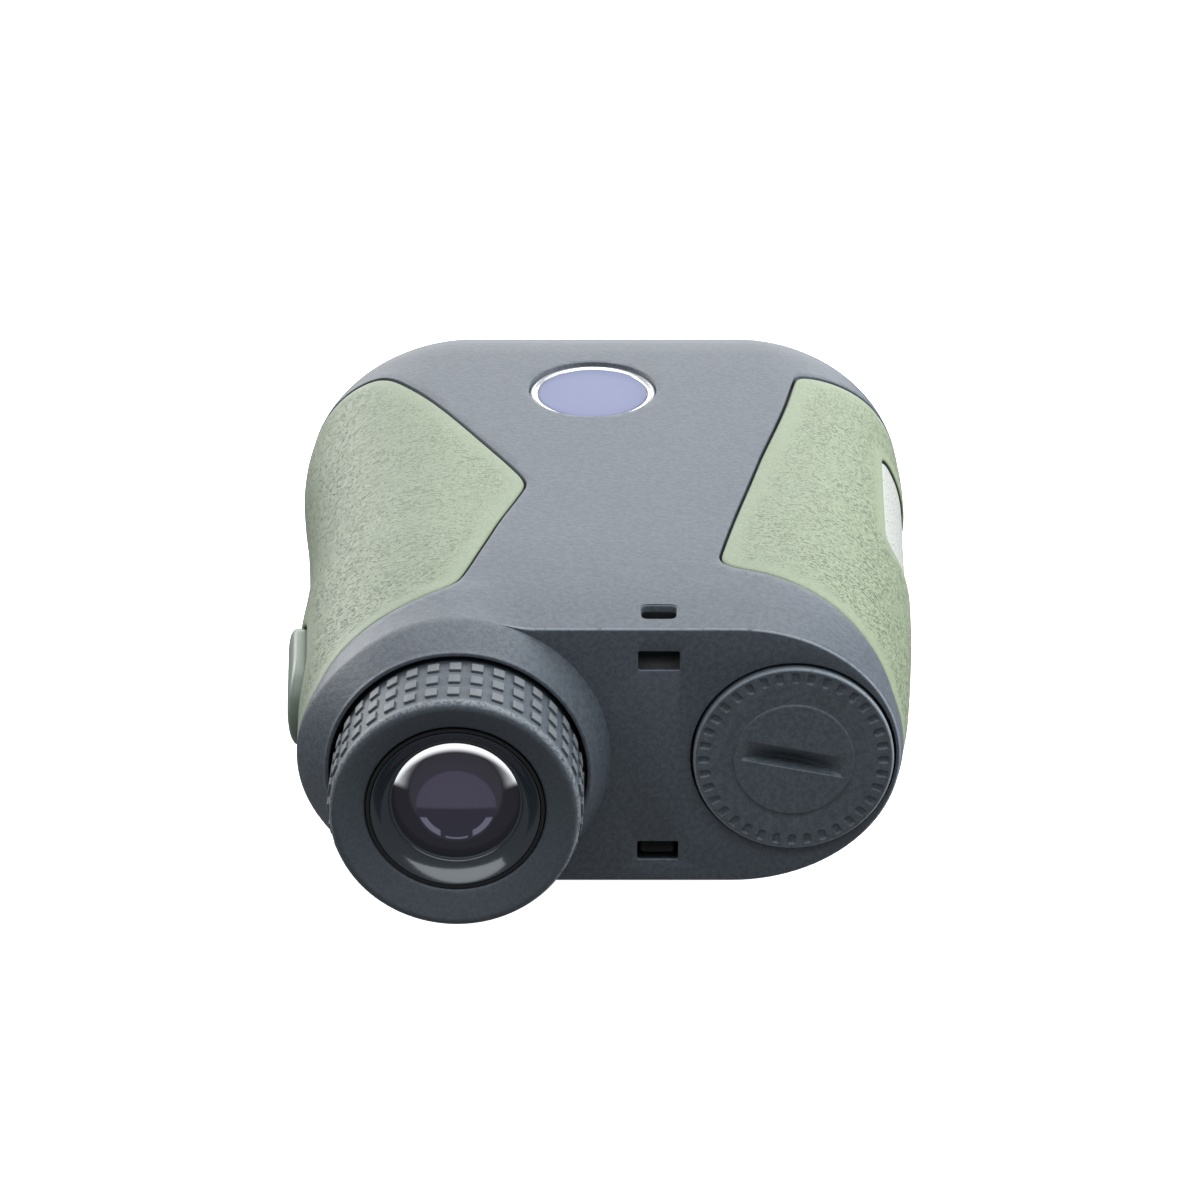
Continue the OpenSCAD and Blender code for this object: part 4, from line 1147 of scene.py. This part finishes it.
def turned_metal(name, tone, roughness, metallic=1.0, lines=3.0):
    """Metal with the fine rings of a lathe tool around the sighting axis."""
    finish = Finish(name)
    rings = finish.noise(1.0, 2.0, 0.6, finish.stretched((0.05, lines, 0.05)))
    smudge = finish.noise(0.3, 3.0, 0.55)
    colour = finish.blend(rings * 0.5 + smudge * 0.5, shade(tone, 0.85), shade(tone, 1.1))
    return finish.surface(Base_Color=colour, Metallic=metallic, Roughness=roughness - 0.05 + smudge * 0.12,
                          Normal=finish.bump(rings, 0.004))


def sheet_finish(name, tone, roughness, depth=0.01, spread=0.06, coat=0.0):
    """A smooth moulded, printed or enamelled surface with slight waves and haze."""
    finish = Finish(name)
    wave = finish.noise(0.7, 2.0, 0.5)
    haze = finish.noise(2.5, 3.0, 0.6)
    colour = finish.blend(haze * 0.6 + wave * 0.4, shade(tone, 1 - spread), shade(tone, 1 + spread))
    return finish.surface(Base_Color=colour, Coat_Weight=coat, Roughness=roughness - 0.03 + haze * 0.06,
                          Normal=finish.bump(wave, depth))


def circuit_board():
    """Green solder mask over copper tracks."""
    finish = Finish("circuit_board")
    tracks = finish.node("ShaderNodeTexWave", {"bands_direction": "DIAGONAL"},
                         {"Vector": finish.place, "Scale": 0.42, "Distortion": 3.0, "Detail": 1.0})
    line = tracks.eased(0.62, 0.7)
    colour = finish.blend(line, rgb(0.01, 0.09, 0.035), rgb(0.02, 0.16, 0.06))
    return finish.surface(Base_Color=colour, Roughness=0.34 + line * 0.08, Normal=finish.bump(line, 0.03))


def copper_winding():
    """Enamelled wire, turn beside turn."""
    finish = Finish("copper_winding")
    turns = finish.node("ShaderNodeTexWave", {"bands_direction": "Y"},
                        {"Vector": finish.place, "Scale": 0.9, "Distortion": 0.2, "Detail": 1.0})
    colour = finish.blend(turns, rgb(0.12, 0.035, 0.012), rgb(0.62, 0.26, 0.1))
    return finish.surface(Base_Color=colour, Metallic=0.85, Roughness=0.32 + turns * 0.1,
                          Normal=finish.bump(turns, 0.08))


def of_kind(make, table):
    """Finishes of one kind; the table holds each one's name and its other settings."""
    return {name: make(name, *settings) for name, settings in table.items()}


FINISHES = {
    "grip_rubber": grip_rubber(),
    "eyecup_rubber": eyecup_rubber(),
    "eye_glass": eye_glass(),
    "circuit_board": circuit_board(),
    "copper_winding": copper_winding(),
    **of_kind(moulded_plastic, {
        # painted highlight on the rear edge, painted shade in the strap channels
        "housing_plastic": ((0.06, 0.071, 0.085), 0.32, 0.06, 0.5, rear_edge, strap_hollows),
        "cover_plastic": ((0.05, 0.058, 0.066), 0.25, 0.03),
        # painted highlight on the cap's rim
        "cap_plastic": ((0.068, 0.08, 0.093), 0.3, 0.014, 0.46, cap_rim),
        "black_plastic": ((0.02, 0.02, 0.022), 0.25, 0.02, 0.55)}),
    **of_kind(sheet_finish, {
        "button_rubber": ((0.132, 0.158, 0.128), 0.42, 0.01),
        "seal_rubber": ((0.012, 0.012, 0.012), 0.5),
        "gloss_black": ((0.022, 0.029, 0.036), 0.16, 0.003, 0.06, 0.5),
        "label_sheet": ((0.325, 0.34, 0.325), 0.28, 0.004, 0.02),
        "badge_face": ((0.1, 0.115, 0.2), 0.5, 0.003, 0.05),
        "chip_black": ((0.018, 0.018, 0.018), 0.5, 0.01),
        "cell_wrap": ((0.62, 0.55, 0.12), 0.25, 0.004),
        "film_blue": ((0.05, 0.13, 0.42), 0.3, 0.02)}),
    **of_kind(turned_metal, {
        "anodised": ((0.018, 0.018, 0.02), 0.42, 0.4),
        "badge_rim": ((0.8, 0.81, 0.84), 0.22, 0.85, 0.2),
        "steel": ((0.56, 0.56, 0.55), 0.3),
        "dark_steel": ((0.11, 0.11, 0.115), 0.36),
        "contact_metal": ((0.75, 0.63, 0.36), 0.25)}),
    **of_kind(front_glass, {
        "objective_glass": (EYE_X, 10.8),
        "laser_glass": (LASER_X, 7.8)}),
    **of_kind(clear_glass, {
        "plain_glass": ((0.93, 0.96, 0.97),)}),
}


# ---- the pieces ----

def dress(piece, body, slot, *nodes, finish=None):
    """Give a piece its finish, the slot's unless one is given, and its body, and hide the nodes it stands
    for.
    """
    piece.data.materials.clear()
    piece.data.materials.append(finish or FINISHES[slot])
    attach(piece, body)
    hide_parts(*nodes)
    return piece


SLOTS = {
    "black_plastic": ("dioptre_ring", "lens_spacer", "prism_holder", "holder_cover", "display_frame",
                      "battery_tube"),
    "anodised": ("eyepiece_sleeve", "sleeve_nut", "ocular_cell", "objective_barrel", "objective_retainer",
                 "laser_barrel"),
    "plain_glass": ("field_lens", "half_prism", "roof_prism", "display_panel"),
    "seal_rubber": ("cover_gasket", "cap_seal"),
    "circuit_board": ("main_board", "laser_board", "detector_board", "button_board", "switch_board"),
    "chip_black": ("board_chips", "power_switch", "mode_switch"),
    "copper_winding": ("transformer",),
    "steel": ("detector_can", "board_screws"),
    "contact_metal": ("laser_diode", "cell_contact", "cap_contact"),
    "cell_wrap": ("battery_cell",),
    "film_blue": ("pulse_capacitor",),
}
for slot, nodes in SLOTS.items():
    for node in nodes:
        carried = bpy.data.objects[node]
        for place in carried.material_slots:
            place.material = FINISHES[slot]

left_grip, right_grip = grips()
badge_ring, badge_enamel = badge()
dress(main_housing(), "body", "housing_plastic", "main_housing")
dress(front_cover(), "body", "cover_plastic", "front_cover")
dress(left_grip, "body", "grip_rubber", "grip_left")
dress(right_grip, "body", "grip_rubber", "grip_right")
dress(label_sheet(), "body", "label_sheet", "label_plate")
dress(badge_ring, "body", "badge_rim", "badge_rim")
dress(badge_enamel, "body", "badge_face", "badge_face")
dress(cover_screws(), "body", "dark_steel", "cover_screws")
dress(eyecup(FINISHES["eyecup_rubber"]), "dioptre", "eyecup_rubber", "eyecup")
dress(eyepiece_retainer(), "ocular", "gloss_black", "ocular_retainer")
dress(battery_cap(), "cap", "cap_plastic", "battery_cap")
dress(power_key(), "power_key", "button_rubber", "power_button")
dress(mode_key(), "mode_key", "button_rubber", "mode_button")

# the middle line, the ground edge from rear to front, the radius and the bulge at rear and front
LENSES = (
    ("eye_lens_glass", "ocular", "eye_lens", "eye_glass", (EYE_X, -9.3, -7.7, 8.05, 0.9, 1.1)),
    ("front_lens_glass", "body", "objective_lens", "objective_glass", (EYE_X, 85.35, 87.55, 11, 0.9, 1.3)),
    ("laser_lens_glass", "body", "collimator_lens", "laser_glass", (LASER_X, 85.9, 88.25, 8, 0.3, 1.1)))
for name, body, node, glass, shape in LENSES:
    dress(lens(name, *shape), body, "coated_glass", node, finish=FINISHES[glass])


# ---- floor, light and camera ----

def white_floor():
    """A wide white surface, lit from within so that it shows no shadow."""
    bpy.ops.mesh.primitive_plane_add(size=8, location=(0, 0, -0.0002))
    floor = bpy.context.object
    floor.name = "white_floor"
    finish = Finish("white_floor")
    glow = finish.noise(0.01, 1.0, 0.5)
    floor.data.materials.append(finish.surface(
        Base_Color=finish.blend(glow, rgb(0.8, 0.8, 0.8), rgb(0.82, 0.82, 0.82)), Roughness=0.8,
        Emission_Color=rgb(1, 1, 1), Emission_Strength=1.0))
    floor.visible_diffuse = False
    floor.visible_glossy = False
    return floor


def softbox(name, place, size, power, target=(0, 0, 0.02), tint=(1.0, 1.0, 1.0)):
    """A rectangular lamp at one place, facing another, in metres."""
    lamp = bpy.data.lights.new(name, "AREA")
    lamp.shape = "RECTANGLE"
    lamp.size, lamp.size_y = size
    lamp.energy = power
    lamp.color = tint
    holder = linked(name, lamp)
    holder.location = place
    holder.rotation_euler = (Vector(target) - Vector(place)).to_track_quat("-Z", "Y").to_euler()
    return holder


def set_camera():
    """The view over the eyepiece end."""
    lens_data = bpy.data.cameras.new("camera")
    lens_data.lens = 106.5
    lens_data.sensor_width = 36
    lens_data.shift_y = 0.0025
    camera = linked("camera", lens_data)
    camera.location = (0, REAR * MM - 0.343, MID * MM + 0.173)
    camera.rotation_euler = (math.radians(65.72), 0, 0)
    bpy.context.scene.camera = camera


def set_world(strength):
    """A plain pale surround."""
    world = bpy.data.worlds.new("surround")
    world.use_nodes = True
    bpy.context.scene.world = world
    sky = world.node_tree.nodes["Background"]
    sky.inputs["Color"].default_value = rgb(0.93, 0.96, 1.0)
    sky.inputs["Strength"].default_value = strength


white_floor()
softbox("top_light", (0.0, 0.3, 0.7), (1.1, 0.6), 8.1)
softbox("back_light", (0.0, 1.0, 0.2), (1.2, 0.3), 4.6)
softbox("left_light", (-0.68, 0.52, 0.27), (0.5, 0.35), 5.4)
right_light = softbox("right_light", (0.75, 0.12, 0.24), (0.5, 0.35), 12.6)
right_light.visible_glossy = False
softbox("eyepiece_light", (0.0, -0.32, 0.62), (1.8, 0.3), 5.4, (-0.015, -0.055, 0.015), (0.9, 0.96, 1.0))
set_camera()
set_world(0.29)
bpy.context.scene.view_settings.view_transform = "Standard"
